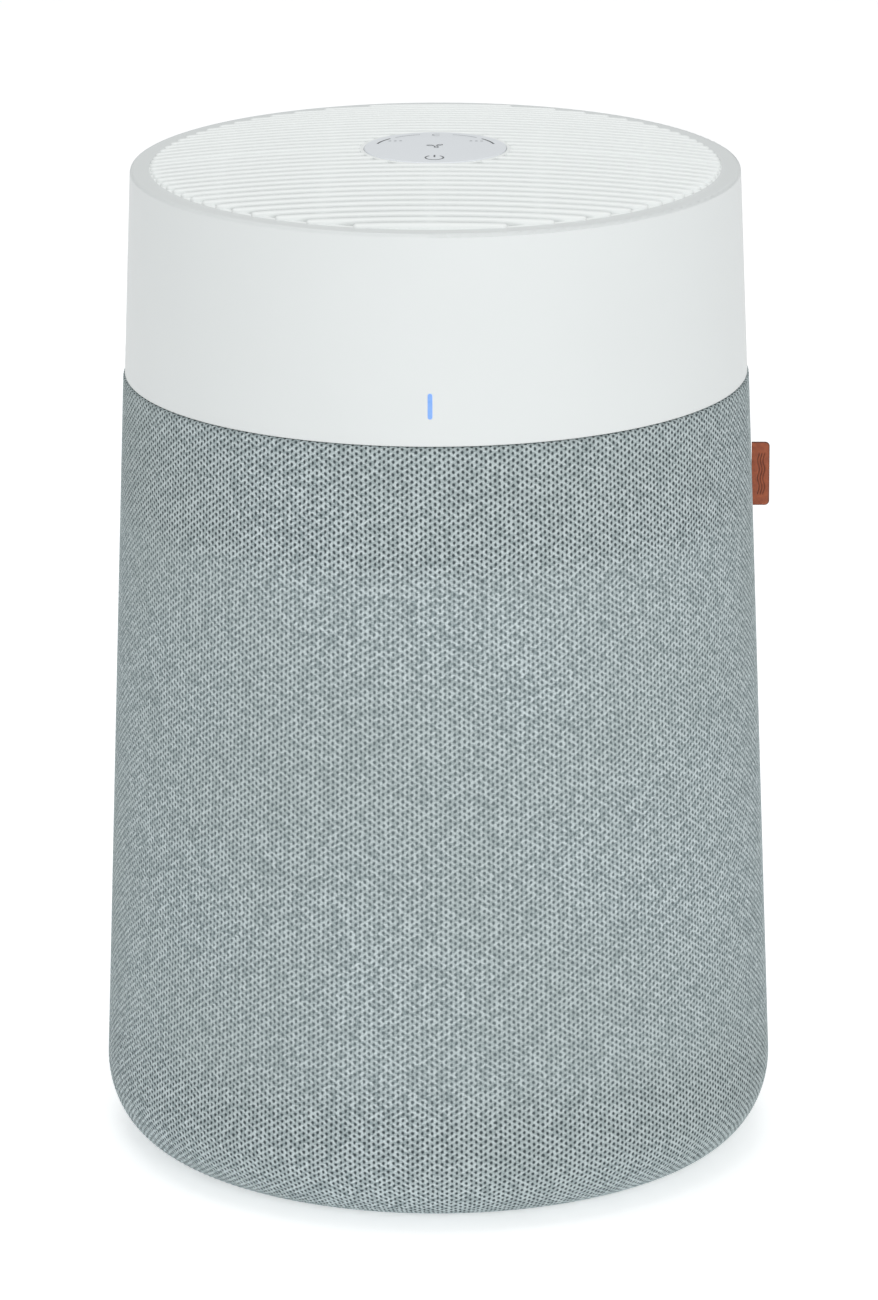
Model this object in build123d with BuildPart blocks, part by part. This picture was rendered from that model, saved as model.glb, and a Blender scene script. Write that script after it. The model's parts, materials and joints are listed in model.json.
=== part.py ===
"""Cylindrical room air purifier: a fabric-wrapped cage holds a round pleated filter, and a white
top casing holds the fan, its motor and the electronics under a domed outlet grille.

Millimetres, +Z up, origin on the floor under the middle of the purifier. The front, with the
light bar, faces -Y, and the leather tag is on the +X side."""

import os
from math import atan, cos, degrees, radians, sin, sqrt

from build123d import *

os.makedirs("parts", exist_ok=True)

# ---------------------------------------------------------------- outer shape
total_height = 481.2  # floor to the top of the domed grille
dome_rise = 7.9  # middle of the dome above its edge
slat_rise = 1.3  # slat ends stand above the flat ring
casing_height = 97.75  # white casing, from its lower edge to its flat ring
belly_radius = 159.4  # widest part of the fabric
band_inset = 12.85  # casing's lower edge inside the belly
rim_inset = 16.6  # casing's top edge inside the belly
belly_height = 36.8
underside_height = 1.5  # fabric's flat underside above the floor
bottom_curve_width = 26.5  # how far the bottom curve runs inwards

# ---------------------------------------------------------------- clearances
cover_gap = 0.2  # between pieces of one body that nest
drop_in_gap = 0.4  # round a piece that drops into a seat
lift_gap = 0.8  # round a piece that lifts out
screw_gap = 0.05  # round a screw's shank in its pilot hole
shaft_running_gap = 0.03  # between the shaft and its bearings
press_gap = 0.02  # between pressed pieces
magnet_air_gap = 0.6
fan_gap = 4.0  # above the turning impeller
filter_side_gap = 2.4  # between the filter and the bottom opening's ledge

# ---------------------------------------------------------------- top casing and grille
casing_wall = 2.6
rim_edge_radius = 1.8
rim_flat_width = 9.2  # flat ring between the casing's edge and the slats
grille_ring_width = 3.6
grille_ring_depth = 5.5
grille_ledge_width = 4.1
ledge_thickness = 2.5
slat_pitch = 7.79
slat_width = 4.3
slat_depth = 6.0
cross_rib_width = 2.6
cross_rib_depth = 3.4
cross_rib_pitch = 49.0
cross_rib_pairs = 2

# ---------------------------------------------------------------- control panel and light bar
panel_radius = 33.3
panel_thickness = 2.6
panel_edge = 0.4  # bevel round the panel's top
panel_collar_wall = 2.0
panel_collar_depth = 18.0
panel_ledge_width = 4.3
board_thickness = 1.6
chip_height = 2.0
ribbon_width = 12.0
ribbon_thickness = 0.4
ribbon_x = 12.0
ribbon_foot_gap = 3.0  # socket's height on the main board
ribbon_socket_width = 5.0
ribbon_room = 3.0  # slot round the ribbon
panel_seat_depth = 2.0
light_bar_height = 12.0
light_bar_width = 2.2
light_bar_rise = 18.75  # its middle above the casing's lower edge
light_flange = 3.0  # how far the window's flange overlaps the wall inside
light_flange_thickness = 1.2
light_flange_set = 0.6  # flange starts inside the curved wall
led_chip_width = 2.8
led_chip_height = 2.0
led_chip_pitch = 4.0
led_chip_depth = 1.0
led_board_width = 14.0
led_board_height = 26.0

# ---------------------------------------------------------------- power inlet
inlet_width = 24.0
inlet_height = 16.0
inlet_depth = 20.0
inlet_recess = 0.6
inlet_corner = 2.5
inlet_flange_gap = 1.8  # behind the curved wall
inlet_flange_width = 2.5
inlet_flange_thickness = 2.0
inlet_rise = 18.75  # its middle above the casing's lower edge
socket_width = 15.0
socket_height = 8.6
socket_depth = 12.0
pin_radius = 1.2
pin_length = 9.0
pin_spacing = 8.6

# ---------------------------------------------------------------- fabric sleeve, cage and tag
sleeve_thickness = 1.6
sleeve_stand_out = 0.65  # sleeve's top edge outside the casing
sleeve_top_gap = 0.35
hem_width = 3.0
rib_count = 24
rib_depth = 4.0
rib_width = 3.0
stave_count = 12  # the cage is moulded in staves that meet edge to edge
hoop_section = 3.0
hoop_count = 6  # between the bottom hoop and the fan deck
collar_height = 13.0  # cage collar that goes up inside the casing
cage_wall = 2.5
bottom_hoop_rise = 7.2  # bottom hoop's top above the belly
bottom_hoop_wall = 2.6
underside_width = 8.9  # flat underside, from the bottom curve in to the opening
socket_wall = 2.4
gusset_reach = 7.0  # how far gussets reach on to the bottom curve
base_ledge_height = 26.0
tag_height = 30.8
tag_reach = 6.9
tag_thickness = 1.5
tag_corner = 2.2
tag_drop = 50.95  # its middle below the casing's lower edge
tag_gap = 0.3

# ---------------------------------------------------------------- base
base_bottom = 2.0
base_plate_thickness = 3.0
spigot_wall = 2.6
seal_thickness = 1.5
foot_radius = 8.0
foot_recess = 1.4
foot_inset = 23.2  # from the base's edge
foot_count = 4
finger_slot_inset = 35.2
finger_slot_width = 14.0
finger_slot_angle = 34.0
plinth_wall = 2.4
plinth_top = 58.0
plinth_inset = 4.0  # inside the filter's edge
plinth_screw_circle = 60.0
plinth_screw_count = 4
centring_radius = 50.0
centring_height = 3.0
key_count = 3
key_width = 6.0
key_height = 0.4

# ---------------------------------------------------------------- filter
filter_cap_thickness = 3.0
filter_cap_rim = 1.4
filter_rim_height = 9.0
pleat_count = 80
pleat_depth = 24.6
pleat_fold = 5.5  # radial thickness of a folded wall
pleat_gap = 1.0  # between the pleats' folds and the caps' rims
core_wall = 1.6
core_bars = 16
core_hoops = 9
core_bar_width = 3.0
carbon_thickness = 2.6
gasket_height = 7.0
gasket_inset = 6.0  # from the top cap's edge
gasket_width = 22.0
pull_tab_width = 24.0
pull_tab_length = 62.0
pull_tab_thickness = 0.9

# ---------------------------------------------------------------- fan
deck_drop = 56.25  # underside of the fan deck, where the filter seals, below the casing
deck_thickness = 2.5
deck_ledge_width = 7.0
fan_inlet_radius = 76.0
guard_thickness = 2.0
guard_ring_width = 2.0
guard_ring_pitch = 15.0
guard_ring_gap = 11.0  # from the guard's rim to its first ring
guard_ring_count = 4
guard_spokes = 6
guard_rim_width = 19.0
guard_screw_inset = 5.6
guard_overlap = 2.0  # guard and bowl reach in under the deck's inlet
bowl_wall = 2.2
bowl_inset = 20.2  # bowl's upright wall inside the casing's wall
bowl_cone_height = 45.3
bowl_flange_width = 16.0
bowl_top_drop = 41.0  # bowl's flange below the casing's flat ring
post_radius = 4.2
post_inset = 9.9  # casing's screw posts inside the flat ring's edge
post_count = 6
impeller_radius = 100.0
eye_gap = 4.5  # inlet to the impeller's eye
eye_lead = 8.0  # blades start this far inside the eye
impeller_eye_rise = 9.5  # eye above the fan deck's underside
impeller_tip_rise = 37.0
impeller_hub_rise = 32.0
impeller_back_rise = 64.0
impeller_wall = 2.2
hub_radius = 12.0
hub_bottom_rise = 20.0
nut_radius = 7.5
nut_height = 6.5
blade_count = 11
blade_thickness = 2.0
blade_inner_radius = 42.0
blade_sweep = 38.0  # degrees that a blade leans back between its ends
vane_count = 13
vane_thickness = 2.0
vane_sweep = 22.0
vane_start = 12.0  # degrees round from the front's right
vane_drop = 3.0  # vanes end this far below the bowl's flange
pod_clearance = 10.0  # round the motor's flange
pod_wall = 2.4
pod_floor_thickness = 2.6
diffuser_wall = 2.2
diffuser_step = 8.0  # vanes start this far above the pod's floor
diffuser_flange = 4.0
diffuser_flange_thickness = 2.0

# ---------------------------------------------------------------- motor
shaft_radius = 4.0
shaft_end = 3.5  # shaft's threaded end below its nut
bearing_radius = 11.0
bearing_width = 7.0
bearing_drop = 1.4  # lower bearing below the pod's floor
boss_wall = 2.4
motor_radius = 40.0
motor_wall = 2.0
motor_flange_width = 14.0
motor_flange_thickness = 2.0
stack_height = 20.0
stack_foot_gap = 2.6
stack_head_gap = 4.0
stator_bore_radius = 22.6
stator_back_width = 4.5
tooth_count = 9
tooth_width = 5.0
tooth_tip = 2.2
tooth_slot = 2.5
coil_width = 3.2
coil_overhang = 2.0
coil_gap = 0.6  # from the coils to the stator's tips and back
rotor_core_radius = 13.0
grommet_radius = 5.0
grommet_height = 2.8
motor_screw_offset = 8.0  # outside the motor's case
motor_screw_count = 3
shaft_clearance = 3.0  # motor's openings round the shaft

# ---------------------------------------------------------------- electronics, sensor, ioniser
tray_wall = 2.0
tray_height = 18.0
tray_post_radius = 2.5
tray_post_inset = 10.0  # inside the boards' edge
tray_post_count = 4
board_inset = 8.0  # boards inside the pod's wall
board_split = 3.0  # gap between the two half-round boards
board_lift = 5.0
lead_radius = 1.3
lead_bend = 14.0
lead_pitch = 3.4
lead_offset = 8.0  # leads outside the bowl
lead_room = 8.0  # openings round the leads
lead_window = 16.0
lead_rise = 10.0  # leads above the bowl's flange
sensor_width = 46.0
sensor_depth = 20.0
sensor_height = 24.0
sensor_angle = 135.0
sensor_offset = 10.0  # sensor's middle outside the bowl
sensor_corner = 2.0
sensor_port_radius = 3.0
sensor_port_depth = 4.0
ioniser_radius = 11.0
ioniser_depth = 6.0
brush_radius = 0.8
brush_length = 8.0
brush_count = 3

# ---------------------------------------------------------------- board components
# (x, y, length, width, height) of square ones, (x, y, radius, height) of round ones
touch_chip_places = ((-10.0, 8.0), (-10.0, -8.0))
touch_chip_size = 6.0
main_chips = (
    (36, 14, 14, 18, 2.4),
    (24, -20, 10, 10, 1.4),
    (38, -14, 8, 6, 1.6),
    (22, 32, 12, 6, 4.0),
    (12, 0, 5, 16, 2.4),
    (24, -38, 14, 6, 4.0),
)
main_cans = ((44, 0, 3.0, 7.0), (14, 22, 2.5, 6.0), (14, -30, 2.5, 6.0))
power_chips = (
    (-24, -4, 18, 20, 6.8),
    (-42, 12, 8, 12, 6.0),
    (-12, -30, 10, 14, 6.4),
    (-12, 44, 14, 8, 6.0),
    (-40, -18, 4, 16, 6.5),
    (-16, 20, 6, 6, 3.0),
)
power_cans = ((-28, 26, 5.5, 6.8), (-28, -30, 4.5, 6.8), (-12, 32, 3.0, 6.0))

# ---------------------------------------------------------------- screws
screw_radius = 1.6
screw_head_radius = 3.2
screw_head_height = 2.2
screw_length = 12.0

# ---------------------------------------------------------------- derived: casing and grille
rim_radius = belly_radius - rim_inset
band_bottom_radius = belly_radius - band_inset
rim_height = total_height - dome_rise - slat_rise
band_bottom = rim_height - casing_height
casing_slope = (band_bottom_radius - rim_radius) / casing_height
grille_radius = rim_radius - rim_flat_width
slat_count = 2 * int((grille_radius - slat_width) / slat_pitch + 0.5)
dome_sphere_radius = (grille_radius**2 + dome_rise**2) / (2 * dome_rise)
dome_sphere_centre = total_height - dome_sphere_radius
seat_radius = grille_radius + cover_gap
ledge_top = rim_height - grille_ring_depth - cover_gap
ledge_bottom = ledge_top - ledge_thickness
ledge_inner_radius = grille_radius - grille_ledge_width
collar_radius = panel_radius + drop_in_gap
collar_outer = collar_radius + panel_collar_wall
touch_board_radius = panel_radius - panel_ledge_width
light_bar_centre = band_bottom + light_bar_rise
inlet_centre = band_bottom + inlet_rise
post_circle = rim_radius - post_inset

# ---------------------------------------------------------------- derived: sleeve, cage, base
sleeve_top = band_bottom - sleeve_top_gap
sleeve_top_radius = band_bottom_radius + sleeve_stand_out
sleeve_slope = (belly_radius - sleeve_top_radius) / (sleeve_top - belly_height)
bottom_curve_height = belly_height - underside_height
curve_centre_radius = belly_radius - bottom_curve_width
curve_centre = (curve_centre_radius, belly_height)
socket_radius = curve_centre_radius - underside_width
hem_start = socket_radius + hem_width
cage_inset = sleeve_thickness + cover_gap
bottom_hoop_top = belly_height + bottom_hoop_rise
tag_centre = band_bottom - tag_drop
base_plate_top = base_bottom + base_plate_thickness
spigot_radius = socket_radius - lift_gap
spigot_top = base_ledge_height - seal_thickness
base_ledge_radius = spigot_radius - spigot_wall - cover_gap
foot_circle = spigot_radius - foot_inset
finger_slot_circle = spigot_radius - finger_slot_inset

# ---------------------------------------------------------------- derived: filter
deck_height = band_bottom - deck_drop
filter_radius = base_ledge_radius - filter_side_gap
plinth_radius = filter_radius - plinth_inset
filter_bottom = plinth_top
filter_cap_top = filter_bottom + filter_cap_thickness
filter_top = deck_height - gasket_height
media_top = filter_top - filter_cap_thickness
pleat_outer_radius = filter_radius - filter_cap_rim - pleat_gap
pleat_inner_radius = pleat_outer_radius - pleat_depth
carbon_inner = pleat_inner_radius - pleat_gap / 2 - carbon_thickness
core_outer = carbon_inner - cover_gap
core_inner = core_outer - core_wall
filter_bore_radius = core_inner - cover_gap - filter_cap_rim
gasket_outer_radius = filter_radius - gasket_inset
gasket_inner_radius = gasket_outer_radius - gasket_width

# ---------------------------------------------------------------- derived: fan and motor
deck_top = deck_height + deck_thickness
guard_top = deck_top + guard_thickness
guard_rim_inner = fan_inlet_radius - guard_ring_width
guard_rim_outer = fan_inlet_radius + guard_rim_width
guard_screw_circle = guard_rim_outer - guard_screw_inset
bowl_top = rim_height - bowl_top_drop
bowl_radius = rim_radius - casing_wall - bowl_inset
cone_start = guard_top + bowl_wall
bowl_shoulder = cone_start + bowl_cone_height
eye_radius = fan_inlet_radius - eye_gap
impeller_eye_height = deck_height + impeller_eye_rise
impeller_tip_height = deck_height + impeller_tip_rise
impeller_hub_height = deck_height + impeller_hub_rise
impeller_back_height = deck_height + impeller_back_rise
hub_bottom = deck_height + hub_bottom_rise
motor_flange_radius = motor_radius + motor_flange_width
motor_screw_circle = motor_radius + motor_screw_offset
pod_radius = motor_flange_radius + pod_clearance
pod_floor_height = impeller_back_height + fan_gap
pod_floor_top = pod_floor_height + pod_floor_thickness
diffuser_radius = bowl_radius - drop_in_gap
bearing_seat = bearing_radius + press_gap
lower_bearing_bottom = pod_floor_height - bearing_drop
lower_bearing_top = lower_bearing_bottom + bearing_width
flange_bottom = pod_floor_top + grommet_height
flange_top = flange_bottom + motor_flange_thickness
stack_bottom = flange_top + stack_foot_gap
stack_top = stack_bottom + stack_height
motor_top = stack_top + stack_head_gap
upper_bearing_bottom = motor_top + motor_wall
shaft_bottom = hub_bottom - nut_height - shaft_end
shaft_top = upper_bearing_bottom + bearing_width

# ---------------------------------------------------------------- derived: electronics
tray_radius = pod_radius - cover_gap
tray_bottom = bowl_top + cover_gap
tray_floor_top = tray_bottom + tray_wall
tray_top = tray_bottom + tray_height
board_radius = pod_radius - board_inset
board_height = tray_floor_top + board_lift
lead_circle = bowl_radius + lead_offset
lead_height = bowl_top + lead_rise
sensor_circle = bowl_radius + sensor_offset
pilot_radius = screw_radius + screw_gap
screw_hole_radius = screw_radius + drop_in_gap


def casing_radius(height):
    """Outside of the white casing at a height."""
    return rim_radius + casing_slope * (rim_height - height)


def sleeve_radius(height):
    """Outside of the fabric sleeve at a height above its bottom curve."""
    return sleeve_top_radius + sleeve_slope * (sleeve_top - height)


def cage_radius(height):
    """Outside of the cage, just inside the sleeve."""
    return sleeve_radius(height) - cage_inset


def dome_height(radius):
    """Top of the grille's dome at a radius."""
    return dome_sphere_centre + sqrt(dome_sphere_radius**2 - radius**2)


def dome_arc(radius, drop):
    """Arc from the axis outwards, a fixed drop below the grille's dome."""
    points = [(r, dome_height(r) - drop) for r in (0, radius / 2, radius)]
    return ThreePointArc(*points)


def on_circle(radius, angle):
    """Point on a circle about the Z axis."""
    return (radius * cos(radians(angle)), radius * sin(radians(angle)))


panel_seat = dome_height(panel_radius) - panel_thickness
touch_board_top = panel_seat - cover_gap
ribbon_bottom = board_height + board_thickness + ribbon_foot_gap
light_wall = casing_radius(light_bar_centre) - casing_wall
inlet_face = casing_radius(inlet_centre) - inlet_recess
deck_screw_circle = cage_radius(deck_height) - rib_depth - deck_ledge_width / 2
half_step = 360 / post_count / 2  # screws half way between the posts


# ---------------------------------------------------------------- shapes that repeat
def add_turned(points, mode=Mode.ADD):
    """Solid that a closed outline of (radius, height) points sweeps about the Z axis."""
    with BuildSketch(Plane.XZ) as outline:
        with BuildLine():
            Polyline(*points, close=True)
        make_face()
    revolve(outline.sketch, axis=Axis.Z, mode=mode)


def add_ring(inner, outer, bottom, top, mode=Mode.ADD):
    """Ring about the Z axis, or a disc where inner is 0."""
    with BuildSketch(Plane.XY.offset(bottom)) as section:
        Circle(outer)
        if inner > 0:
            Circle(inner, mode=Mode.SUBTRACT)
    extrude(section.sketch, amount=top - bottom, mode=mode)


def add_posts(radius, circle, count, bottom, top, start=0.0, mode=Mode.ADD):
    """Round posts, or holes, evenly spaced on a circle."""
    with BuildSketch(Plane.XY.offset(bottom)) as section:
        with PolarLocations(circle, count, start_angle=start):
            Circle(radius)
    extrude(section.sketch, amount=top - bottom, mode=mode)


def add_plates(width, inner, outer, count, bottom, top, start=0.0, mode=Mode.ADD):
    """Flat radial plates between two radii, evenly spaced."""
    with BuildSketch(Plane.XY.offset(bottom)) as section:
        with PolarLocations((inner + outer) / 2, count, start_angle=start):
            Rectangle(outer - inner, width)
    extrude(section.sketch, amount=top - bottom, mode=mode)


def add_screws(circle, count, head_bottom, length, start=0.0, upward=False):
    """Pan-head screws on a circle, with their heads above head_bottom, or below it."""
    turn = -1 if upward else 1
    head = sorted((head_bottom, head_bottom + turn * screw_head_height))
    shank = sorted((head_bottom, head_bottom - turn * length))
    add_posts(screw_head_radius, circle, count, *head, start)
    add_posts(screw_radius, circle, count, *shank, start)


def swept_blade(thickness, inner, outer, sweep):
    """Curved blade outline from an inner to an outer radius, leaning back by sweep degrees."""
    with BuildSketch() as outline:
        with BuildLine():
            start = on_circle(inner, 0)
            middle = on_circle((inner + outer) / 2, -sweep * 0.36)
            end = on_circle(outer, -sweep)
            spine = ThreePointArc(start, middle, end)
            offset(spine, amount=thickness / 2)
        make_face()
    return outline.sketch


def finish(builder, label):
    """Names the finished piece and writes its file."""
    builder.part.label = label
    export_step(builder.part, f"parts/{label}.step")


# ---------------------------------------------------------------- top casing
def cut_to_casing(recess=0.0):
    """Trims what is being built to the casing's outer surface."""
    add_turned(
        [
            (0, band_bottom),
            (band_bottom_radius - recess, band_bottom),
            (rim_radius - recess, rim_height),
            (0, rim_height),
        ],
        mode=Mode.INTERSECT,
    )


front = Plane.XZ.offset(band_bottom_radius)
rear = Plane.XZ.offset(-band_bottom_radius)

with BuildPart() as top_casing:
    add_turned(
        [
            (band_bottom_radius, band_bottom),
            (rim_radius, rim_height),
            (seat_radius, rim_height),
            (seat_radius, ledge_top),
            (ledge_inner_radius, ledge_top),
            (ledge_inner_radius, ledge_bottom),
            (seat_radius + casing_wall, ledge_bottom),
            (seat_radius + casing_wall, rim_height - casing_wall),
            (casing_radius(rim_height - casing_wall) - casing_wall, rim_height - casing_wall),
            (band_bottom_radius - casing_wall, band_bottom),
        ]
    )
    circles = top_casing.edges().filter_by(GeomType.CIRCLE)
    rim_edge = circles.group_by(Axis.Z)[-1].sort_by(SortBy.RADIUS)[-1]
    fillet(rim_edge, rim_edge_radius)
    circles = top_casing.edges().filter_by(GeomType.CIRCLE)
    lower_edge = circles.group_by(Axis.Z)[0].sort_by(SortBy.RADIUS)[-1]
    fillet(lower_edge, casing_wall / 4)
    add_posts(post_radius, post_circle, post_count, bowl_top, ledge_top - cover_gap)
    add_posts(
        pilot_radius, post_circle, post_count, bowl_top, bowl_top + screw_length, mode=Mode.SUBTRACT
    )
    with BuildSketch(front):
        with Locations((0, light_bar_centre)):
            SlotOverall(light_bar_height, light_bar_width, rotation=90)
    extrude(amount=-3 * casing_wall, mode=Mode.SUBTRACT)
    with BuildSketch(rear):
        with Locations((0, inlet_centre)):
            RectangleRounded(inlet_width, inlet_height, inlet_corner)
    extrude(amount=3 * casing_wall, mode=Mode.SUBTRACT)
finish(top_casing, "top_casing")

# ---------------------------------------------------------------- top grille
slat_places = [(number - (slat_count - 1) / 2) * slat_pitch for number in range(slat_count)]

with BuildPart() as dome_layer:
    with BuildSketch(Plane.XZ):
        with BuildLine():
            dome_top = dome_arc(grille_radius, 0)
            dome_low = dome_arc(grille_radius, slat_depth)
            Line(dome_top @ 0, dome_low @ 0)
            Line(dome_top @ 1, dome_low @ 1)
        make_face()
    revolve(axis=Axis.Z)

with BuildPart() as rib_layer:
    with BuildSketch(Plane.XZ):
        with BuildLine():
            rib_top = dome_arc(grille_radius, slat_depth / 2)
            rib_low = dome_arc(grille_radius, slat_depth / 2 + cross_rib_depth)
            Line(rib_top @ 0, rib_low @ 0)
            Line(rib_top @ 1, rib_low @ 1)
        make_face()
    revolve(axis=Axis.Z)
    with BuildSketch(Plane.XY.offset(rim_height - 4 * slat_depth)):
        for number in range(cross_rib_pairs):
            place = (number + 1) * cross_rib_pitch
            with Locations((place, 0), (-place, 0)):
                Rectangle(cross_rib_width, 2 * grille_radius)
        Rectangle(2 * grille_radius, cross_rib_width)
    extrude(amount=8 * slat_depth, mode=Mode.INTERSECT)

with BuildPart() as top_grille:
    with BuildSketch(Plane.XY.offset(rim_height - 2 * slat_depth)):
        for place in slat_places:
            with Locations((0, place)):
                SlotOverall(2 * sqrt(grille_radius**2 - place**2), slat_width)
    extrude(amount=5 * slat_depth)
    add(dome_layer.part, mode=Mode.INTERSECT)
    add(rib_layer.part)
    grille_seat = rim_height - grille_ring_depth
    ring_top = rim_height - drop_in_gap
    add_ring(grille_radius - grille_ring_width, grille_radius, grille_seat, ring_top)
    collar_top = dome_height(collar_outer) - panel_collar_wall / 2
    add_ring(0, collar_outer, total_height - panel_collar_depth, total_height, mode=Mode.SUBTRACT)
    add_ring(collar_radius, collar_outer, total_height - panel_collar_depth, collar_top)
    panel_seat_inner = touch_board_radius + drop_in_gap
    add_ring(panel_seat_inner, collar_outer, panel_seat - panel_seat_depth, panel_seat)
finish(top_grille, "top_grille")

# ---------------------------------------------------------------- control panel
with BuildPart() as control_panel:
    with BuildSketch(Plane.XZ):
        with BuildLine():
            panel_top = dome_arc(panel_radius - panel_edge, 0)
            Polyline(
                panel_top @ 1,
                (panel_radius, dome_height(panel_radius) - panel_edge),
                (panel_radius, panel_seat),
                (0, panel_seat),
                panel_top @ 0,
            )
        make_face()
    revolve(axis=Axis.Z)
finish(control_panel, "control_panel")

with BuildPart() as touch_board:
    add_ring(0, touch_board_radius, touch_board_top - board_thickness, touch_board_top)
    with BuildSketch(Plane.XY.offset(touch_board_top - board_thickness)):
        with Locations((ribbon_x, 0)):
            Rectangle(ribbon_socket_width, ribbon_width + ribbon_socket_width)
        for x, y in touch_chip_places:
            with Locations((x, y)):
                Rectangle(touch_chip_size, touch_chip_size)
    extrude(amount=-chip_height)
finish(touch_board, "touch_board")

with BuildPart() as panel_ribbon:
    with BuildSketch(Plane.XY.offset(ribbon_bottom)):
        with Locations((ribbon_x, 0)):
            Rectangle(ribbon_thickness, ribbon_width)
    extrude(amount=touch_board_top - board_thickness - chip_height - ribbon_bottom)
finish(panel_ribbon, "panel_ribbon")

# ---------------------------------------------------------------- light bar
with BuildPart() as light_window:
    with BuildSketch(front):
        with Locations((0, light_bar_centre)):
            SlotOverall(
                light_bar_height - 2 * screw_gap, light_bar_width - 2 * screw_gap, rotation=90
            )
    extrude(amount=-(band_bottom_radius - light_wall + light_flange_thickness))
    cut_to_casing()
    with BuildSketch(Plane.XZ.offset(light_wall - light_flange_set)):
        with Locations((0, light_bar_centre)):
            SlotOverall(
                light_bar_height + 2 * light_flange, light_bar_width + 2 * light_flange, rotation=90
            )
    extrude(amount=-light_flange_thickness)
finish(light_window, "light_window")

led_front = light_wall - light_flange_set - light_flange_thickness - cover_gap
with BuildPart() as led_board:
    with BuildSketch(Plane.XZ.offset(led_front)):
        with Locations((0, light_bar_centre)):
            with GridLocations(0, led_chip_pitch, 1, 3):
                Rectangle(led_chip_width, led_chip_height)
    extrude(amount=-led_chip_depth)
    with BuildSketch(Plane.XZ.offset(led_front - led_chip_depth)):
        with Locations((0, light_bar_centre)):
            Rectangle(led_board_width, led_board_height)
    extrude(amount=-board_thickness)
finish(led_board, "led_board")

# ---------------------------------------------------------------- power inlet
inlet_body = (inlet_width - 2 * cover_gap, inlet_height - 2 * cover_gap, inlet_corner - cover_gap)
with BuildPart() as power_inlet:
    with BuildSketch(rear):
        with Locations((0, inlet_centre)):
            RectangleRounded(*inlet_body)
    extrude(amount=band_bottom_radius - inlet_face + inlet_depth)
    cut_to_casing(recess=inlet_recess)
    with BuildSketch(rear):
        with Locations((0, inlet_centre)):
            SlotOverall(socket_width, socket_height)
    extrude(amount=band_bottom_radius - inlet_face + socket_depth, mode=Mode.SUBTRACT)
    with BuildSketch(Plane.XZ.offset(inlet_flange_gap - casing_radius(inlet_centre) + casing_wall)):
        with Locations((0, inlet_centre)):
            RectangleRounded(
                inlet_width + 2 * inlet_flange_width,
                inlet_height + 2 * inlet_flange_width,
                inlet_corner,
            )
            RectangleRounded(*inlet_body, mode=Mode.SUBTRACT)
    extrude(amount=inlet_flange_thickness)
finish(power_inlet, "power_inlet")

with BuildPart() as inlet_pins:
    with BuildSketch(Plane.XZ.offset(-(inlet_face - socket_depth))):
        with Locations((0, inlet_centre)):
            with GridLocations(pin_spacing, 0, 2, 1):
                Circle(pin_radius)
    extrude(amount=-pin_length)
    pin_ends = inlet_pins.edges().filter_by(GeomType.CIRCLE).group_by(Axis.Y)[-1]
    fillet(pin_ends, pin_radius * 0.7)
finish(inlet_pins, "inlet_pins")

# ---------------------------------------------------------------- fabric sleeve and hems
with BuildPart() as fabric_sleeve:
    inner_top_radius = sleeve_top_radius - sleeve_thickness
    inner_belly = belly_radius - sleeve_thickness
    with BuildSketch(Plane.XZ):
        with BuildLine():
            Line((hem_start, underside_height), (curve_centre_radius, underside_height))
            EllipticalCenterArc(
                curve_centre, bottom_curve_width, bottom_curve_height, 270, arc_size=90
            )
            Line((belly_radius, belly_height), (sleeve_top_radius, sleeve_top))
            Line((sleeve_top_radius, sleeve_top), (inner_top_radius, sleeve_top))
            Line((inner_top_radius, sleeve_top), (inner_belly, belly_height))
            EllipticalCenterArc(
                curve_centre,
                bottom_curve_width - sleeve_thickness,
                bottom_curve_height - sleeve_thickness,
                270,
                arc_size=90,
            )
            inner_underside = underside_height + sleeve_thickness
            Line((curve_centre_radius, inner_underside), (hem_start, inner_underside))
            Line((hem_start, inner_underside), (hem_start, underside_height))
        make_face()
    revolve(axis=Axis.Z)
finish(fabric_sleeve, "fabric_sleeve")

with BuildPart() as bottom_hem:
    hem_inner = socket_radius - cover_gap
    add_ring(hem_inner, hem_start, underside_height, underside_height + sleeve_thickness)
finish(bottom_hem, "bottom_hem")

# ---------------------------------------------------------------- cage under the sleeve
with BuildPart() as cage_rib:
    with BuildSketch(Plane.XZ):
        with BuildLine():
            rib_bottom = bottom_hoop_top + cover_gap
            Polyline(
                (cage_radius(rib_bottom), rib_bottom),
                (cage_radius(sleeve_top), sleeve_top),
                (cage_radius(sleeve_top) - rib_depth, sleeve_top),
                (cage_radius(rib_bottom) - rib_depth, rib_bottom),
                close=True,
            )
        make_face()
    extrude(amount=rib_width / 2, both=True)


def add_cage_hoop(bottom, top, depth):
    """Hoop whose outside follows the cage's taper."""
    inner = cage_radius(top) - depth
    add_turned(
        [(inner, bottom), (cage_radius(bottom), bottom), (cage_radius(top), top), (inner, top)]
    )


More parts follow.
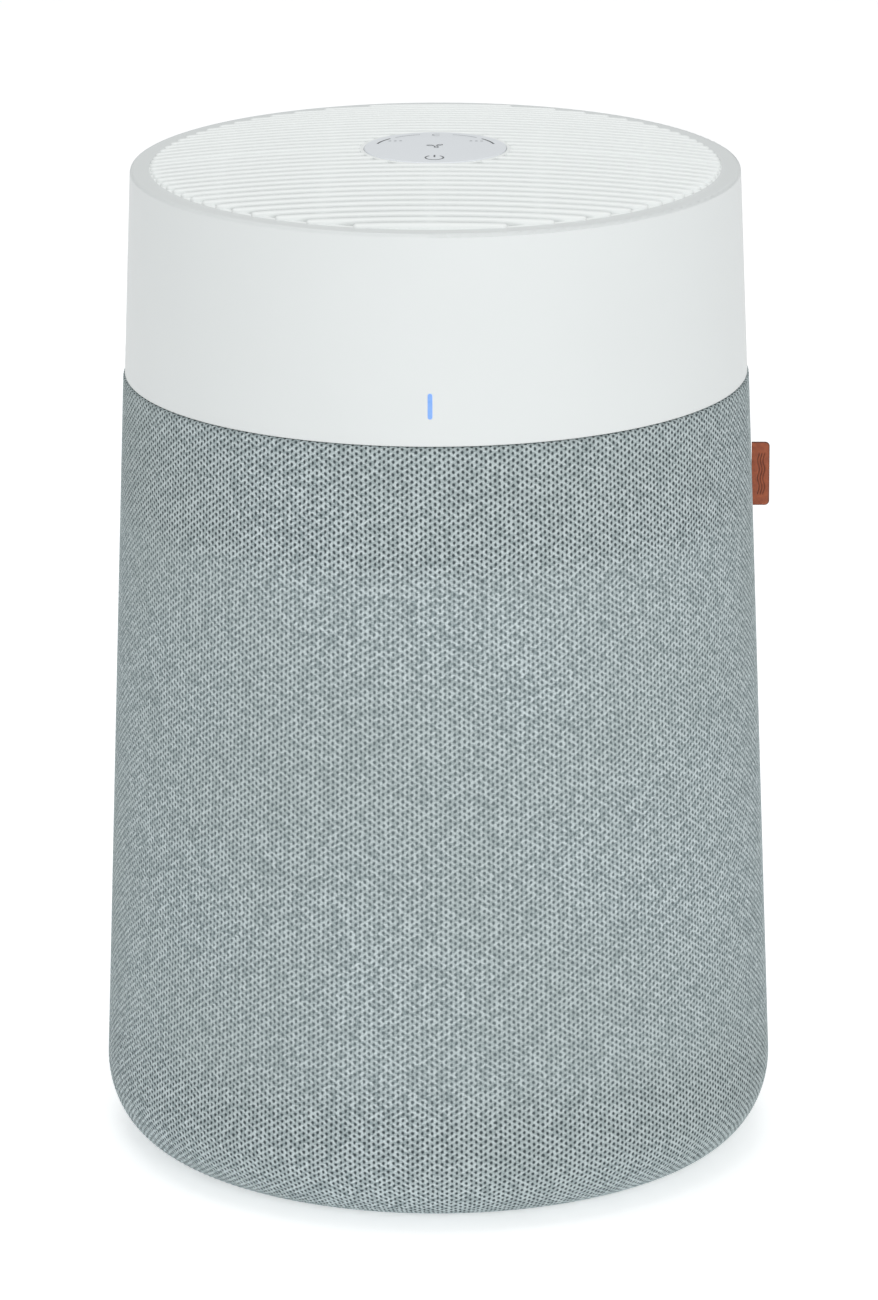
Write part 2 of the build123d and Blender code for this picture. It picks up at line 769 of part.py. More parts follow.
with BuildPart() as cage:
    with PolarLocations(0, rib_count, start_angle=360 / rib_count / 2):
        add(cage_rib.part)
    hoop_pitch = (deck_height - bottom_hoop_top) / (hoop_count + 1)
    for number in range(hoop_count):
        hoop_low = bottom_hoop_top + (number + 1) * hoop_pitch
        add_cage_hoop(hoop_low, hoop_low + hoop_section, hoop_section)
    upper_hoop = (deck_height + sleeve_top) / 2
    add_cage_hoop(upper_hoop, upper_hoop + hoop_section, hoop_section)
    add_cage_hoop(rib_bottom, rib_bottom + 2 * hoop_section, rib_depth)
    add_cage_hoop(sleeve_top - 3 * hoop_section, sleeve_top, rib_depth)
    add_cage_hoop(deck_height - hoop_section, deck_height, rib_depth + deck_ledge_width)
    collar_bottom_radius = casing_radius(band_bottom + collar_height) - casing_wall - drop_in_gap
    add_ring(
        collar_bottom_radius - cage_wall,
        collar_bottom_radius,
        sleeve_top - 3 * hoop_section,
        band_bottom + collar_height,
    )
    add_posts(
        pilot_radius,
        deck_screw_circle,
        post_count,
        deck_height - hoop_section,
        deck_height,
        start=half_step,
        mode=Mode.SUBTRACT,
    )
    with BuildSketch(rear):
        with Locations((0, inlet_centre)):
            Rectangle(inlet_width + lead_room, inlet_height + lead_room)
    extrude(amount=6 * casing_wall, mode=Mode.SUBTRACT)
    with BuildSketch(front):
        with Locations((0, light_bar_centre)):
            Rectangle(led_board_width + lead_room / 2, led_board_height + lead_room / 2)
    extrude(amount=-6 * casing_wall, mode=Mode.SUBTRACT)
    stave_cut = (cover_gap, deck_screw_circle - deck_ledge_width, belly_radius, stave_count)
    stave_span = (rib_bottom, band_bottom + collar_height, 180 / stave_count)
    add_plates(*stave_cut, *stave_span, mode=Mode.SUBTRACT)
finish(cage, "cage")

with BuildPart() as bottom_hoop:
    with BuildSketch(Plane.XZ):
        with BuildLine():
            hoop_bottom = underside_height + cage_inset
            hoop_floor = hoop_bottom + bottom_hoop_wall
            outer_width = bottom_curve_width - cage_inset
            outer_height = bottom_curve_height - cage_inset
            hoop_outer = (curve_centre_radius + outer_width, belly_height)
            hoop_inner = (hoop_outer[0] - bottom_hoop_wall, belly_height)
            rim_outer = (cage_radius(bottom_hoop_top), bottom_hoop_top)
            rim_inner = (rim_outer[0] - bottom_hoop_wall, bottom_hoop_top)
            wall_outside = socket_radius + socket_wall
            base_ledge_top = base_ledge_height + socket_wall
            Line((socket_radius, hoop_bottom), (curve_centre_radius, hoop_bottom))
            EllipticalCenterArc(curve_centre, outer_width, outer_height, 270, arc_size=90)
            Polyline(hoop_outer, rim_outer, rim_inner, hoop_inner)
            EllipticalCenterArc(
                curve_centre,
                outer_width - bottom_hoop_wall,
                outer_height - bottom_hoop_wall,
                270,
                arc_size=90,
            )
            Polyline(
                (curve_centre_radius, hoop_floor),
                (wall_outside, hoop_floor),
                (wall_outside, base_ledge_top),
                (base_ledge_radius, base_ledge_top),
                (base_ledge_radius, base_ledge_height),
                (socket_radius, base_ledge_height),
                (socket_radius, hoop_bottom),
            )
        make_face()
    revolve(axis=Axis.Z)
    add_plates(
        rib_width,
        wall_outside - socket_wall / 2,
        curve_centre_radius + gusset_reach,
        rib_count // 2,
        hoop_floor - bottom_hoop_wall / 4,
        base_ledge_height,
        start=360 / rib_count / 2,
    )
finish(bottom_hoop, "bottom_hoop")

# ---------------------------------------------------------------- leather tag
tag_tilt = degrees(atan(sleeve_slope))
tag_root = sleeve_radius(tag_centre) + tag_gap + tag_thickness / 2
tag_plane = Plane(
    origin=(tag_root, 0, tag_centre),
    x_dir=(cos(radians(tag_tilt)), 0, sin(radians(tag_tilt))),
    z_dir=(0, -1, 0),
)
with BuildPart() as leather_tag:
    with BuildSketch(tag_plane) as tag_outline:
        with Locations((tag_reach / 2, 0)):
            Rectangle(tag_reach, tag_height)
        fillet(tag_outline.vertices().sort_by(Axis.X)[-2:], tag_corner)
    extrude(amount=tag_thickness / 2, both=True)
    with BuildSketch(Plane(origin=tag_plane.origin, x_dir=tag_plane.x_dir, z_dir=tag_plane.y_dir)):
        Circle(tag_thickness / 2)
    extrude(amount=tag_height / 2, both=True)
finish(leather_tag, "leather_tag")

# ---------------------------------------------------------------- base
with BuildPart() as base_plate:
    add_turned(
        [
            (0, base_bottom),
            (spigot_radius, base_bottom),
            (spigot_radius, spigot_top),
            (spigot_radius - spigot_wall, spigot_top),
            (spigot_radius - spigot_wall, base_plate_top),
            (0, base_plate_top),
        ]
    )
    plate_edges = base_plate.edges().filter_by(GeomType.CIRCLE)
    fillet(plate_edges.group_by(Axis.Z)[0].sort_by(SortBy.RADIUS)[-1], base_plate_thickness / 3)
    add_plates(
        key_width,
        spigot_radius - spigot_wall / 2,
        spigot_radius + key_height,
        key_count,
        base_plate_top,
        spigot_top - spigot_wall,
    )
    foot_seat = base_bottom + foot_recess
    foot_hole = foot_radius + cover_gap
    add_posts(foot_hole, foot_circle, foot_count, 0, foot_seat, start=45, mode=Mode.SUBTRACT)
    screw_seat = base_bottom + screw_head_height / 2
    for radius, top in (
        (screw_head_radius + drop_in_gap, screw_seat),
        (screw_hole_radius, base_plate_top),
    ):
        add_posts(
            radius,
            plinth_screw_circle,
            plinth_screw_count,
            0,
            top,
            start=45,
            mode=Mode.SUBTRACT,
        )
    with BuildSketch(Plane.XY):
        for middle in (0, 180):
            SlotArc(
                CenterArc(
                    (0, 0), finger_slot_circle, middle - finger_slot_angle / 2, finger_slot_angle
                ),
                finger_slot_width,
            )
    extrude(amount=base_plate_top, mode=Mode.SUBTRACT)
finish(base_plate, "base_plate")

with BuildPart() as rubber_feet:
    add_posts(foot_radius, foot_circle, foot_count, 0, foot_seat, start=45)
    fillet(rubber_feet.edges().filter_by(GeomType.CIRCLE).group_by(Axis.Z)[0], foot_radius / 10)
finish(rubber_feet, "rubber_feet")

with BuildPart() as base_seal:
    add_ring(
        spigot_radius - spigot_wall + cover_gap,
        spigot_radius - cover_gap,
        spigot_top,
        base_ledge_height,
    )
finish(base_seal, "base_seal")

with BuildPart() as filter_plinth:
    add_turned(
        [
            (plinth_radius - plinth_wall, base_plate_top),
            (plinth_radius, base_plate_top),
            (plinth_radius, plinth_top),
            (centring_radius, plinth_top),
            (centring_radius, plinth_top + centring_height),
            (0, plinth_top + centring_height),
            (0, plinth_top - plinth_wall),
            (plinth_radius - plinth_wall, plinth_top - plinth_wall),
        ]
    )
    plinth_edges = filter_plinth.edges().filter_by(GeomType.CIRCLE)
    fillet(plinth_edges.group_by(Axis.Z)[-1], centring_height / 2)
    boss_radius = pilot_radius + plinth_wall
    roof = plinth_top - plinth_wall / 2
    add_posts(boss_radius, plinth_screw_circle, plinth_screw_count, base_plate_top, roof, start=45)
    add_plates(
        plinth_wall,
        plinth_screw_circle + pilot_radius,
        plinth_radius - plinth_wall / 2,
        plinth_screw_count,
        base_plate_top + finger_slot_width,
        roof,
        start=45,
    )
    add_posts(
        pilot_radius,
        plinth_screw_circle,
        plinth_screw_count,
        base_plate_top,
        base_plate_top + screw_length,
        start=45,
        mode=Mode.SUBTRACT,
    )
finish(filter_plinth, "filter_plinth")

with BuildPart() as base_screws:
    add_screws(
        plinth_screw_circle, plinth_screw_count, screw_seat, screw_length, start=45, upward=True
    )
finish(base_screws, "base_screws")

# ---------------------------------------------------------------- filter
with BuildPart() as filter_bottom_cap:
    recess_radius = centring_radius + drop_in_gap
    recess_top = filter_bottom + centring_height + cover_gap
    add_turned(
        [
            (recess_radius, filter_bottom),
            (filter_radius, filter_bottom),
            (filter_radius, filter_cap_top + filter_rim_height),
            (filter_radius - filter_cap_rim, filter_cap_top + filter_rim_height),
            (filter_radius - filter_cap_rim, filter_cap_top),
            (recess_radius + filter_cap_thickness, filter_cap_top),
            (recess_radius + filter_cap_thickness, recess_top + filter_cap_rim),
            (0, recess_top + filter_cap_rim),
            (0, recess_top),
            (recess_radius, recess_top),
        ]
    )
finish(filter_bottom_cap, "filter_bottom_cap")

with BuildPart() as filter_top_cap:
    inner_rim = filter_bore_radius + filter_cap_rim
    outer_rim = filter_radius - filter_cap_rim
    add_turned(
        [
            (filter_bore_radius, media_top - filter_rim_height),
            (inner_rim, media_top - filter_rim_height),
            (inner_rim, media_top),
            (outer_rim, media_top),
            (outer_rim, media_top - filter_rim_height),
            (filter_radius, media_top - filter_rim_height),
            (filter_radius, filter_top),
            (filter_bore_radius, filter_top),
        ]
    )
    cap_edges = filter_top_cap.edges().filter_by(GeomType.CIRCLE)
    fillet(cap_edges.group_by(Axis.Z)[-1], filter_cap_thickness / 3)
finish(filter_top_cap, "filter_top_cap")


def pleat_points(inner, outer):
    """Corners of a zigzag ring with one fold out and one fold in for each pleat."""
    step = 360 / pleat_count
    corners = []
    for number in range(pleat_count):
        corners.append(on_circle(outer, number * step))
        corners.append(on_circle(inner, (number + 0.5) * step))
    return corners


with BuildPart() as filter_media:
    with BuildSketch(Plane.XY.offset(filter_cap_top)):
        with BuildLine():
            Polyline(*pleat_points(pleat_inner_radius + pleat_fold, pleat_outer_radius), close=True)
        make_face()
        with BuildLine():
            Polyline(*pleat_points(pleat_inner_radius, pleat_outer_radius - pleat_fold), close=True)
        make_face(mode=Mode.SUBTRACT)
    extrude(amount=media_top - filter_cap_top)
finish(filter_media, "filter_media")

with BuildPart() as filter_core:
    add_plates(core_bar_width, core_inner, core_outer, core_bars, filter_cap_top, media_top)
    hoop_step = (media_top - filter_cap_top - core_bar_width) / (core_hoops - 1)
    for number in range(core_hoops):
        hoop_start = filter_cap_top + number * hoop_step
        add_ring(core_inner, core_outer, hoop_start, hoop_start + core_bar_width)
finish(filter_core, "filter_core")

with BuildPart() as carbon_layer:
    add_ring(carbon_inner, carbon_inner + carbon_thickness, filter_cap_top, media_top)
finish(carbon_layer, "carbon_layer")

with BuildPart() as filter_gasket:
    add_ring(gasket_inner_radius, gasket_outer_radius, filter_top, deck_height)
finish(filter_gasket, "filter_gasket")

with BuildPart() as filter_pull_tab:
    tab_face = filter_bore_radius - cover_gap - pull_tab_thickness
    with BuildSketch(Plane.YZ.offset(tab_face)):
        with Locations((0, filter_top - pull_tab_length / 2)):
            RectangleRounded(pull_tab_width, pull_tab_length, pull_tab_width / 4)
    extrude(amount=-pull_tab_thickness)
finish(filter_pull_tab, "filter_pull_tab")

# ---------------------------------------------------------------- fan deck, guard and bowl
with BuildPart() as fan_deck:
    deck_radius = cage_radius(deck_top) - rib_depth - cover_gap
    add_ring(fan_inlet_radius, deck_radius, deck_height, deck_top)
    inlet_edges = fan_deck.edges().filter_by(GeomType.CIRCLE).group_by(SortBy.RADIUS)[0]
    fillet(inlet_edges.sort_by(Axis.Z)[0], deck_thickness / 2)
    add_posts(
        screw_hole_radius,
        deck_screw_circle,
        post_count,
        deck_height,
        deck_top,
        start=half_step,
        mode=Mode.SUBTRACT,
    )
    add_posts(
        pilot_radius, guard_screw_circle, post_count, deck_height, deck_top, mode=Mode.SUBTRACT
    )
finish(fan_deck, "fan_deck")

with BuildPart() as deck_screws:
    deck_screw_length = deck_thickness + hoop_section - 1
    add_screws(deck_screw_circle, post_count, deck_top, deck_screw_length, start=half_step)
finish(deck_screws, "deck_screws")

with BuildPart() as inlet_guard:
    add_ring(guard_rim_inner, guard_rim_outer, deck_top, guard_top)
    add_ring(0, ioniser_radius, deck_top, guard_top)
    for number in range(guard_ring_count):
        radius = guard_rim_inner - guard_ring_gap - number * guard_ring_pitch
        add_ring(radius, radius + guard_ring_width, deck_top, guard_top)
    add_plates(
        guard_ring_width,
        ioniser_radius - guard_ring_width / 2,
        guard_rim_inner + guard_ring_width / 2,
        guard_spokes,
        deck_top,
        guard_top,
        start=30,
    )
    add_posts(
        screw_hole_radius, guard_screw_circle, post_count, deck_top, guard_top, mode=Mode.SUBTRACT
    )
finish(inlet_guard, "inlet_guard")

with BuildPart() as fan_bowl:
    foot_wall = guard_rim_outer - 1
    add_turned(
        [
            (fan_inlet_radius - guard_overlap, guard_top),
            (foot_wall, guard_top),
            (foot_wall, cone_start),
            (fan_inlet_radius + guard_overlap + 2 * bowl_wall, cone_start),
            (bowl_radius + bowl_wall, bowl_shoulder),
            (bowl_radius + bowl_wall, bowl_top - bowl_wall),
            (bowl_radius + bowl_flange_width, bowl_top - bowl_wall),
            (bowl_radius + bowl_flange_width, bowl_top),
            (bowl_radius, bowl_top),
            (bowl_radius, bowl_shoulder),
            (fan_inlet_radius, cone_start),
        ]
    )
    add_posts(
        screw_hole_radius, guard_screw_circle, post_count, guard_top, cone_start, mode=Mode.SUBTRACT
    )
    add_posts(
        screw_hole_radius,
        post_circle,
        post_count,
        bowl_top - bowl_wall,
        bowl_top,
        mode=Mode.SUBTRACT,
    )
    with BuildSketch(Plane.XY.offset(bowl_top - 2 * bowl_wall)):
        for angle in (90, 270, sensor_angle):
            with Locations(Location((*on_circle(lead_circle + lead_radius, angle), 0), (0, 0, angle))):
                Rectangle(lead_room + 2 * lead_radius, lead_window)
    extrude(amount=4 * bowl_wall, mode=Mode.SUBTRACT)
finish(fan_bowl, "fan_bowl")

with BuildPart() as bowl_screws:
    bowl_screw_length = cone_start - deck_height - drop_in_gap
    add_screws(guard_screw_circle, post_count, cone_start, bowl_screw_length)
finish(bowl_screws, "bowl_screws")

with BuildPart() as casing_screws:
    add_screws(
        post_circle, post_count, bowl_top - bowl_wall, screw_length - 1, upward=True
    )
finish(casing_screws, "casing_screws")

# ---------------------------------------------------------------- impeller
with BuildPart() as blade_room:
    add_turned(
        [
            (hub_radius - 1, hub_bottom),
            (eye_radius - eye_lead, impeller_eye_height + impeller_wall),
            (eye_radius, impeller_eye_height + impeller_wall / 2),
            (impeller_radius, impeller_tip_height + impeller_wall / 2),
            (impeller_radius, impeller_back_height - impeller_wall / 2),
            (hub_radius - 1, impeller_hub_height),
        ]
    )

blade_tip = impeller_radius - blade_thickness / 4
blade_outline = swept_blade(blade_thickness, blade_inner_radius, blade_tip, blade_sweep)
with BuildPart() as impeller:
    with BuildSketch(Plane.XY.offset(impeller_eye_height)):
        with PolarLocations(0, blade_count):
            add(blade_outline)
    extrude(amount=impeller_back_height - impeller_eye_height)
    add(blade_room.part, mode=Mode.INTERSECT)
    add_turned(
        [
            (hub_radius - 1, impeller_hub_height),
            (impeller_radius, impeller_back_height - impeller_wall),
            (impeller_radius, impeller_back_height),
            (hub_radius - 1, impeller_hub_height + 2 * impeller_wall),
        ]
    )
    add_ring(0, hub_radius, hub_bottom, impeller_back_height - impeller_wall)
    add_ring(0, shaft_radius + press_gap, hub_bottom, impeller_back_height, mode=Mode.SUBTRACT)
finish(impeller, "impeller")

with BuildPart() as impeller_ring:
    add_turned(
        [
            (eye_radius, impeller_eye_height),
            (impeller_radius, impeller_tip_height),
            (impeller_radius, impeller_tip_height - impeller_wall),
            (eye_radius + impeller_wall, impeller_eye_height - impeller_wall),
            (eye_radius, impeller_eye_height - impeller_wall),
        ]
    )
finish(impeller_ring, "impeller_ring")

with BuildPart() as impeller_nut:
    with BuildSketch(Plane.XY.offset(hub_bottom - nut_height)):
        RegularPolygon(nut_radius, 6)
        Circle(shaft_radius + press_gap, mode=Mode.SUBTRACT)
    extrude(amount=nut_height)
finish(impeller_nut, "impeller_nut")

with BuildPart() as motor_shaft:
    add_ring(0, shaft_radius, shaft_bottom, shaft_top)
    chamfer(motor_shaft.edges().filter_by(GeomType.CIRCLE), shaft_radius / 8)
finish(motor_shaft, "motor_shaft")

magnet_outer = stator_bore_radius - magnet_air_gap
with BuildPart() as rotor_core:
    add_ring(shaft_radius + press_gap, rotor_core_radius, stack_bottom, stack_top)
finish(rotor_core, "rotor_core")

with BuildPart() as rotor_magnet:
    add_ring(rotor_core_radius + screw_gap, magnet_outer, stack_bottom, stack_top)
finish(rotor_magnet, "rotor_magnet")

# ---------------------------------------------------------------- motor
with BuildPart() as motor_case:
    add_turned(
        [
            (bearing_seat, lower_bearing_bottom),
            (bearing_seat + boss_wall, lower_bearing_bottom),
            (bearing_seat + boss_wall, flange_bottom),
            (motor_flange_radius, flange_bottom),
            (motor_flange_radius, flange_top),
            (motor_radius, flange_top),
            (motor_radius, motor_top),
            (motor_radius - motor_wall, motor_top),
            (motor_radius - motor_wall, flange_top),
            (shaft_radius + shaft_clearance, flange_top),
            (shaft_radius + shaft_clearance, lower_bearing_top),
            (bearing_seat, lower_bearing_top),
        ]
    )
    add_posts(
        screw_hole_radius,
        motor_screw_circle,
        motor_screw_count,
        flange_bottom,
        flange_top,
        mode=Mode.SUBTRACT,
    )
finish(motor_case, "motor_case")

with BuildPart() as motor_cap:
    cap_outer_height = upper_bearing_bottom + bearing_width
    add_turned(
        [
            (shaft_radius + shaft_clearance, motor_top),
            (motor_radius, motor_top),
            (motor_radius, upper_bearing_bottom),
            (bearing_seat + boss_wall, upper_bearing_bottom),
            (bearing_seat + boss_wall, cap_outer_height),
            (bearing_seat, cap_outer_height),
            (bearing_seat, upper_bearing_bottom),
            (shaft_radius + shaft_clearance, upper_bearing_bottom),
        ]
    )
finish(motor_cap, "motor_cap")

with BuildPart() as motor_bearings:
    for bottom in (lower_bearing_bottom, upper_bearing_bottom):
        add_ring(shaft_radius + shaft_running_gap, bearing_radius, bottom, bottom + bearing_width)
finish(motor_bearings, "motor_bearings")

stator_outer = motor_radius - motor_wall - screw_gap
with BuildPart() as stator_core:
    add_ring(stator_outer - stator_back_width, stator_outer, stack_bottom, stack_top)
    tooth_step = 360 / tooth_count
    add_plates(
        tooth_width,
        stator_bore_radius + 1,
        stator_outer - stator_back_width / 2,
        tooth_count,
        stack_bottom,
        stack_top,
    )
    with BuildSketch(Plane.XY.offset(stack_bottom)):
        Circle(stator_bore_radius + tooth_tip)
        Circle(stator_bore_radius, mode=Mode.SUBTRACT)
        with PolarLocations(stator_bore_radius, tooth_count, start_angle=tooth_step / 2):
            Rectangle(4 * tooth_tip, tooth_slot, mode=Mode.SUBTRACT)
    extrude(amount=stack_height)
finish(stator_core, "stator_core")

coil_inner = stator_bore_radius + tooth_tip + coil_gap
coil_outer = stator_outer - stator_back_width - coil_gap
with BuildPart() as stator_coils:
    coil_box = tooth_width + 2 * coil_width
    coil_low = stack_bottom - coil_overhang
    coil_high = stack_top + coil_overhang
    add_plates(coil_box, coil_inner, coil_outer, tooth_count, coil_low, coil_high)
    tooth_room = tooth_width + 2 * cover_gap
    hole_low = stack_bottom - cover_gap
    hole_high = stack_top + cover_gap
    reach = coil_outer + 1
    add_plates(
        tooth_room, coil_inner - 1, reach, tooth_count, hole_low, hole_high, mode=Mode.SUBTRACT
    )
finish(stator_coils, "stator_coils")

with BuildPart() as motor_grommets:
    add_posts(
        grommet_radius, motor_screw_circle, motor_screw_count, pod_floor_top, flange_bottom
    )
    add_posts(
        screw_hole_radius,
        motor_screw_circle,
        motor_screw_count,
        pod_floor_top,
        flange_bottom,
        mode=Mode.SUBTRACT,
    )
finish(motor_grommets, "motor_grommets")

with BuildPart() as motor_screws:
    motor_screw_length = flange_top - pod_floor_height - drop_in_gap
    add_screws(motor_screw_circle, motor_screw_count, flange_top, motor_screw_length)
finish(motor_screws, "motor_screws")

# ---------------------------------------------------------------- diffuser with the motor pod
vane_outline = swept_blade(
    vane_thickness, pod_radius - pod_wall / 2, diffuser_radius - diffuser_wall / 2, -vane_sweep
)
with BuildPart() as diffuser:
    ring_bottom = pod_floor_height + diffuser_step
    with BuildSketch(Plane.XY.offset(ring_bottom)):
        with PolarLocations(0, vane_count, start_angle=vane_start):
            add(vane_outline)
    extrude(amount=bowl_top - vane_drop - ring_bottom)
    add_ring(diffuser_radius - diffuser_wall, diffuser_radius, ring_bottom, bowl_top)
    add_ring(
        diffuser_radius - diffuser_wall,
        bowl_radius + diffuser_flange,
        bowl_top,
        bowl_top + diffuser_flange_thickness,
    )
    add_ring(pod_radius - pod_wall, pod_radius, pod_floor_height, bowl_top)
    pod_hole = bearing_seat + boss_wall + drop_in_gap
    add_ring(pod_hole, pod_radius, pod_floor_height, pod_floor_top)
    add_posts(
        pilot_radius,
        motor_screw_circle,
        motor_screw_count,
        pod_floor_height,
        pod_floor_top,
        mode=Mode.SUBTRACT,
    )
finish(diffuser, "diffuser")

# ---------------------------------------------------------------- electronics
with BuildPart() as electronics_tray:
    add_turned(
        [
            (0, tray_bottom),
            (tray_radius, tray_bottom),
            (tray_radius, tray_top),
            (tray_radius - tray_wall, tray_top),
            (tray_radius - tray_wall, tray_floor_top),
            (0, tray_floor_top),
        ]
    )
    add_posts(
        tray_post_radius,
        board_radius - tray_post_inset,
        tray_post_count,
        tray_floor_top,
        board_height - cover_gap,
        start=45,
    )
    with BuildSketch(Plane.XY.offset(lead_height - lead_room / 2)):
        for angle in (90, 270, sensor_angle):
            with Locations(Location((*on_circle(tray_radius, angle), 0), (0, 0, angle))):
                Rectangle(lead_room + 2 * tray_wall, lead_window - 2)
    extrude(amount=tray_height, mode=Mode.SUBTRACT)
finish(electronics_tray, "electronics_tray")

with BuildPart() as electronics_cover:
    cover_bottom = tray_top
    add_ring(0, tray_radius, cover_bottom, cover_bottom + tray_wall)
    lip_outer = tray_radius - tray_wall - cover_gap
    add_ring(lip_outer - tray_wall, lip_outer, cover_bottom - tray_wall, cover_bottom)
    cover_edges = electronics_cover.edges().filter_by(GeomType.CIRCLE).group_by(Axis.Z)[-1]
    fillet(cover_edges, tray_wall / 2)
    with BuildSketch(Plane.XY.offset(cover_bottom)):
        with Locations((ribbon_x, 0)):
            Rectangle(ribbon_room, ribbon_width + ribbon_room)
    extrude(amount=tray_wall, mode=Mode.SUBTRACT)
finish(electronics_cover, "electronics_cover")


def half_board(sign):
    """Half-round board outline on one side of the split."""
    with BuildSketch(Plane.XY.offset(board_height)) as outline:
        Circle(board_radius)
        with Locations((sign * board_radius / 2 + sign * board_split / 4, 0)):
            Rectangle(board_radius - board_split / 2, 2 * board_radius, mode=Mode.INTERSECT)
    return outline.sketch


def add_chips(boxes):
    """Board components as (x, y, length, width, height) boxes standing on the board."""
    for x, y, length, width, height in boxes:
        with BuildSketch(Plane.XY.offset(board_height + board_thickness)) as chip:
            with Locations((x, y)):
                Rectangle(length, width)
        extrude(chip.sketch, amount=height)


def add_cans(cans):
    """Round board components as (x, y, radius, height)."""
    for x, y, radius, height in cans:
        with BuildSketch(Plane.XY.offset(board_height + board_thickness)) as can:
            with Locations((x, y)):
                Circle(radius)
        extrude(can.sketch, amount=height)


with BuildPart() as main_board:
    extrude(half_board(1), amount=board_thickness)
finish(main_board, "main_board")

with BuildPart() as power_board:
    extrude(half_board(-1), amount=board_thickness)
finish(power_board, "power_board")

with BuildPart() as main_board_parts:
    add_chips(main_chips)
    add_cans(main_cans)
finish(main_board_parts, "main_board_parts")

with BuildPart() as power_board_parts:
    add_chips(power_chips)
    add_cans(power_cans)
finish(power_board_parts, "power_board_parts")


# ---------------------------------------------------------------- leads inside the casing
def lead(label, angle, bottom, spacing, count):
    """Insulated wires that run up outside the fan bowl and in to the electronics tray."""
    with BuildPart() as wires:
        outward = Vector(*on_circle(1, angle), 0)
        aside = Vector(*on_circle(1, angle + 90), 0)
        for number in range(count):
            shift = aside * ((number - (count - 1) / 2) * spacing)
            foot = outward * lead_circle + shift + Vector(0, 0, bottom)
            corner = outward * lead_circle + shift + Vector(0, 0, lead_height)
            end = outward * (board_radius + tray_wall / 2) + shift + Vector(0, 0, lead_height)
            with BuildLine() as route:
                FilletPolyline(foot, corner, end, radius=lead_bend)
            with BuildSketch(Plane(origin=foot, z_dir=(0, 0, 1))) as section:
                Circle(lead_radius)
            sweep(section.sketch, path=route.line)
    finish(wires, label)


inlet_top = inlet_centre + inlet_height / 2
lead("mains_lead", 90, inlet_top, pin_spacing, 2)
led_board_top = light_bar_centre + led_board_height / 2
lead("led_lead", 270, led_board_top + 1, lead_pitch, 2)
lead("sensor_lead", sensor_angle, deck_top + sensor_height, lead_pitch, 3)

# ---------------------------------------------------------------- particle sensor and ioniser
sensor_frame = Plane(origin=(*on_circle(sensor_circle, sensor_angle), deck_top), z_dir=(0, 0, 1))
sensor_plane = sensor_frame.rotated((0, 0, sensor_angle))
with BuildPart() as particle_sensor:
    with BuildSketch(sensor_plane):
        RectangleRounded(sensor_depth, sensor_width, sensor_corner)
    extrude(amount=sensor_height)
    fillet(particle_sensor.edges().group_by(Axis.Z)[-1], sensor_corner / 2)
    sniff_height = deck_top + sensor_height / 2
    outside = Plane(
        origin=(*on_circle(sensor_circle + sensor_depth / 2, sensor_angle), sniff_height),
        z_dir=(*on_circle(1, sensor_angle), 0),
    )
    with BuildSketch(outside):
        Circle(sensor_port_radius)
    extrude(amount=-sensor_port_depth, mode=Mode.SUBTRACT)
finish(particle_sensor, "particle_sensor")

ioniser_bottom = deck_top - ioniser_depth
with BuildPart() as ioniser:
    add_ring(0, ioniser_radius, ioniser_bottom, deck_top)
    fillet(ioniser.edges().filter_by(GeomType.CIRCLE).group_by(Axis.Z)[0], ioniser_depth / 3)
finish(ioniser, "ioniser")

with BuildPart() as ioniser_brushes:
    brush_tip = ioniser_bottom - brush_length
    add_posts(brush_radius, ioniser_radius / 2, brush_count, brush_tip, ioniser_bottom)
finish(ioniser_brushes, "ioniser_brushes")
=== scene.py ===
"""Round room air purifier with a knit sleeve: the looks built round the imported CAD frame.

Metres, +Z up, front towards -Y. Sizes that describe visible detail are in millimetres times MM."""

import bpy
import json
import math
import numpy as np
from mathutils import Matrix, Vector


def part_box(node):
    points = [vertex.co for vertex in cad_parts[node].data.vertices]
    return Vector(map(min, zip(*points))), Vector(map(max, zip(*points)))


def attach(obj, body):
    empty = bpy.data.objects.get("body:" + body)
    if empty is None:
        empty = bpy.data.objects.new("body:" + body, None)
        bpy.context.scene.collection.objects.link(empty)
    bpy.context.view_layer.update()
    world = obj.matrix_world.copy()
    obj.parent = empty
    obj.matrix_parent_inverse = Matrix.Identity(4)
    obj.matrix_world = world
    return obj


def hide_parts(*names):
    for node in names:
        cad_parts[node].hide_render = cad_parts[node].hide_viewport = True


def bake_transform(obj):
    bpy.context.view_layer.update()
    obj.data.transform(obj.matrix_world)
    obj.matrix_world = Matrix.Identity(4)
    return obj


MM = 0.001
TAU = 2 * math.pi

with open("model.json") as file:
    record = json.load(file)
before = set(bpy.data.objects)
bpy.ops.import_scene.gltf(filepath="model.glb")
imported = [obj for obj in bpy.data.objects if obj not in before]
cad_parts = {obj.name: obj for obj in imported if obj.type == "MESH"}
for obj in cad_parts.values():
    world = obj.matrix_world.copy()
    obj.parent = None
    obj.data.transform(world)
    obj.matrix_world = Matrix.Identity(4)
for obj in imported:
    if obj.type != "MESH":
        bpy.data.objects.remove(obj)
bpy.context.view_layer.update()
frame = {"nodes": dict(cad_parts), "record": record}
NODES = frame["nodes"]


def corner(node, index):
    """Lowest (0) or highest (1) corner of a CAD node."""
    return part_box(node)[index]


